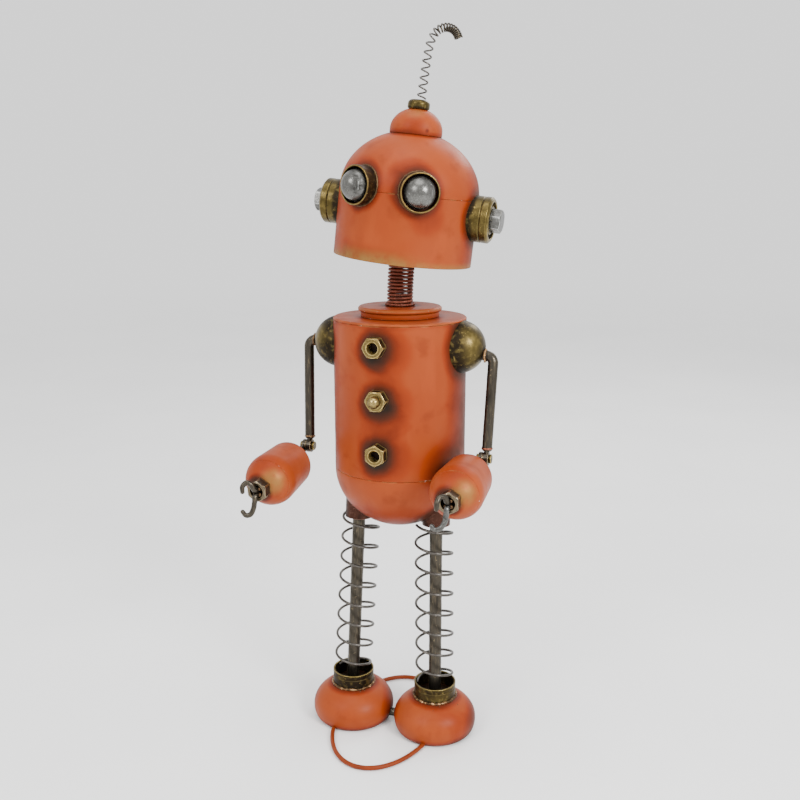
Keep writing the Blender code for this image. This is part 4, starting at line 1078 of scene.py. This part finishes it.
def build_leg(name, side):
    hip, ankle = sided(side, HIP), sided(side, ANKLE)
    down = (ankle - hip).normalized()
    foot = ankle + down * ((ankle.z - FOOT_TOP_Z - 0.8 * MM) / -down.z)
    path = [foot.lerp(hip - down * 14 * MM, i / 60) for i in range(61)]
    piece(f"leg_bar_{name}", sweep(path, rough_radii(LEG_R, path, 30 + side), 32, 0.3), DARK, "base",
          [f"leg_rod_{name}"], edges=None)
    hole, lining, deep = LEG_R + 0.3 * MM, HIP_CUP_R - 1.6 * MM, -26 * MM
    turned(f"hip_shell_{name}", [(hole, 0), (HIP_CUP_R, 0), (HIP_CUP_R, deep), (lining, deep),
                                 (lining, -1.6 * MM), (hole, -1.6 * MM)],
           aim(hip, down), HIP_BROWN, "base", [f"hip_cup_{name}"], 0.6, 1.6, 96, 0.2)
    weld(f"hip_weld_{name}", hip_joint(hip, down), 1.1 * MM, "base", 70 + side, HIP_BROWN)
    build_leg_spring(name, hip, ankle, down)

    inner = COLLAR_R - 1.5 * MM
    at_ankle = move(ankle)
    turned(f"collar_{name}", [(inner, -20 * MM), (COLLAR_R, -20 * MM), (COLLAR_R, -5.4 * MM),
                              (COLLAR_R - 0.5 * MM, -4.8 * MM), (COLLAR_R, -4.2 * MM), (COLLAR_R, 0),
                              (inner, 0)],
           at_ankle, BRASS, "base", [f"ankle_collar_{name}"], 0.4, 1.2, uneven=0.15,
           dark=[level(at_ankle, -2 * MM, 2 * MM, 0.6)])
    bead = move((ankle.x, ankle.y, on_foot(COLLAR_R) + 0.3 * MM))
    weld(f"collar_weld_{name}", circle(bead, COLLAR_R + 0.3 * MM, 120), 1.2 * MM, "base", 80 + side,
         # Painted glints on the weld, with some rubbed metal.
         gold=[lambda p: np.array([0.8 * (noise.noise(Vector(q) * 300) > 0.12) for q in p])])
    floor = move((ankle.x, ankle.y, 0))
    turned(f"foot_shell_{name}", foot_outline(), floor, PAINT, "base", [f"foot_dome_{name}"],
           0.4, 2, 180, DENTS,
           # Painted shade round the collar, near the floor and inside the collar, and along both side edges
           # as seen, with some airbrush.
           dark=[ring(bead, COLLAR_R, 10 * MM, 0.6), level(floor, 0, 10 * MM, 0.5),
                 spot(ankle - Vector((0, 0, 12 * MM)), 15, 21, 1.0),
                 flank(at_ankle, (1, 0.3, 0), FOOT_R, 0.6, 0.55),
                 flank(at_ankle, (-1, 0, 0), FOOT_R, 0.7, 0.45)])
    source = random.Random(90 + side)
    spots = []
    for _ in range(14):
        t = source.uniform(0, 2 * pi)
        r = source.uniform(COLLAR_R + 1.5 * MM, COLLAR_R + 7 * MM)
        spots.append(floor @ Vector(polar(r, t, on_foot(r) - 0.3 * MM)))
    drops(f"foot_spatter_{name}", spots, 0.55 * MM, "base", 95)


def build_leg_spring(name, hip, ankle, down):
    top_shift, foot_shift = SPRING_SHIFT[name]
    top = hip + down * 3.2 * MM + Vector((top_shift, 0, 0))
    foot = ankle + down * 2 * MM + Vector((foot_shift, 0, 0))
    turn = down.to_track_quat("-Z", "Y").to_matrix().to_4x4()
    rise = 0.055  # share of its length that the spring runs on up, to the bowl

    def centre(share):
        return move(top.lerp(foot, share * (1 + rise) - rise)) @ turn

    points = helix(centre, lambda t: LEG_COIL_R - 0.9 * MM * max(0.0, t * 10 - 9),
                   lambda t: LEG_TURNS * (1 + rise) * (t - 1), 420)
    while in_bowl(points[0], 1.06):
        points.pop(0)
    piece(f"leg_coil_{name}", sweep(points, LEG_WIRE_R, 14, 0.5), WIRE, "base", [f"leg_spring_{name}"],
          edges=None)


def in_bowl(point, limit):
    local = point - AXIS
    depth = BOWL_HIGH.z - BOWL_LOW.z
    return (local.xy.length / TORSO_R) ** 2 + ((BOWL_HIGH.z - local.z) / depth) ** 2 < limit


def hip_joint(hip, down):
    """Where a hip cup's outside meets the bowl."""
    place = aim(hip, down)
    made = []
    for i in range(73):
        t = 2 * pi * i / 72
        for back in range(400):
            p = place @ Vector(polar(HIP_CUP_R, t, -back * 0.1 * MM))
            if in_bowl(p, 1.0):
                break
        made.append(p)
    return made


def build_base():
    wire = 2.1 * MM
    feet = [sided(side, ANKLE) for _, side in SIDES]
    for name, way in (("front", -1), ("rear", 1)):
        path = []
        for i in range(241):
            t = pi * i / 240
            p = on_torso(-4.2 + 49.5 * cos(t), -25.6 + way * 84 * sin(t), wire / MM)
            if all((p - foot).xy.length > 37 * MM for foot in feet):
                path.append(p)
        source = random.Random(7)
        radii = [wire * source.uniform(0.97, 1.0) for _ in path]
        piece(f"hoop_{name}", sweep(path, radii, 20, 0.2), WIRE_PAINT, "base", [f"base_hoop_{name}"],
              edges=None)
        drops(f"hoop_weld_{name}", [path[0], path[2], path[-1], path[-3]], 1.8 * MM, "base", 97, WIRE_PAINT)
    ends = [AXIS + Vector((x, ANKLE.y, 7.5 * MM)) for x in (-5.5 * MM, 5.5 * MM)]
    piece("link_bar", sweep([ends[0].lerp(ends[1], i / 10) for i in range(11)], 4 * MM, 24, 0.2), DARK,
          "base", ["foot_link"], edges=None)


# ---- floor, light and camera

def direction(azimuth, height):
    """Away from the robot: the azimuth in radians from its front round to its left, and the height."""
    flat = cos(height)
    return Vector((sin(azimuth) * flat, -cos(azimuth) * flat, sin(height)))


def build_studio():
    f = Finish("pale_floor")
    tone = f.mix(f.step(f.noise(3, 3), 0.3, 0.7), (0.86, 0.86, 0.86), (0.9, 0.9, 0.895))
    floor_finish = f.done(Base_Color=tone, Roughness=0.7, Normal=f.bump(f.noise(300, 3), 0.0003, 0.1))
    # Far off the floor glows as bright as the sky, so that no horizon shows
    reach = f.node("ShaderNodeVectorMath", {0: f.place}, out=1, operation="LENGTH")
    glow = f.node("ShaderNodeEmission", {"Color": (1.0, 1.0, 1.0), "Strength": SKY})
    output = f.tree.nodes["Material Output"]
    blend = f.node("ShaderNodeMixShader", {0: f.step(reach, 1.0, 5.0), 1: f.shader.outputs[0], 2: glow})
    f.put(output.inputs["Surface"], blend)
    verts, faces = lathe([(0, -0.02), (12, -0.02), (12, -0.0004), (0, -0.0004)], 96)
    floor = piece("studio_floor", (verts, faces), floor_finish, None, edges=None)

    world = bpy.context.scene.world or bpy.data.worlds.new("studio")
    bpy.context.scene.world = world
    world.use_nodes = True
    sky = world.node_tree.nodes["Background"]
    sky.inputs["Color"].default_value = (1, 1, 1, 1)
    sky.inputs["Strength"].default_value = SKY

    target = Vector((0, 0, 0.36))
    lights = (  # name, azimuth, height, distance, size, power
        ("key", 58, 26, 1.7, 0.6, 30),
        ("fill", -26, 34, 1.9, 0.8, 18),
        ("top", 10, 78, 1.6, 1.2, 14),
        ("rim", 165, 35, 2.0, 1.0, 12),
    )
    for name, azimuth, height, distance, size, power in lights:
        data = bpy.data.lights.new(name, "AREA")
        data.shape = "DISK"
        data.size = size
        data.energy = power
        lamp = bpy.data.objects.new(name, data)
        bpy.context.scene.collection.objects.link(lamp)
        away = direction(radians(azimuth), radians(height))
        lamp.matrix_world = aim(target + away * distance, away)

    camera_data = bpy.data.cameras.new("photo_camera")
    camera_data.lens = CAMERA_LENS
    camera_data.sensor_width = 36
    camera = bpy.data.objects.new("photo_camera", camera_data)
    bpy.context.scene.collection.objects.link(camera)
    turn = (-direction(*CAMERA_TURN)).to_track_quat("-Z", "Y").to_matrix().to_4x4()
    camera.matrix_world = move(CAMERA_AT) @ turn
    bpy.context.scene.camera = camera


build_torso()
build_chest()
build_neck()
antenna_base = build_head()
build_eyes()
build_ears()
build_antenna(antenna_base)
for side_name, sign in SIDES:
    build_arm(side_name, sign)
    build_leg(side_name, sign)
build_base()
build_studio()
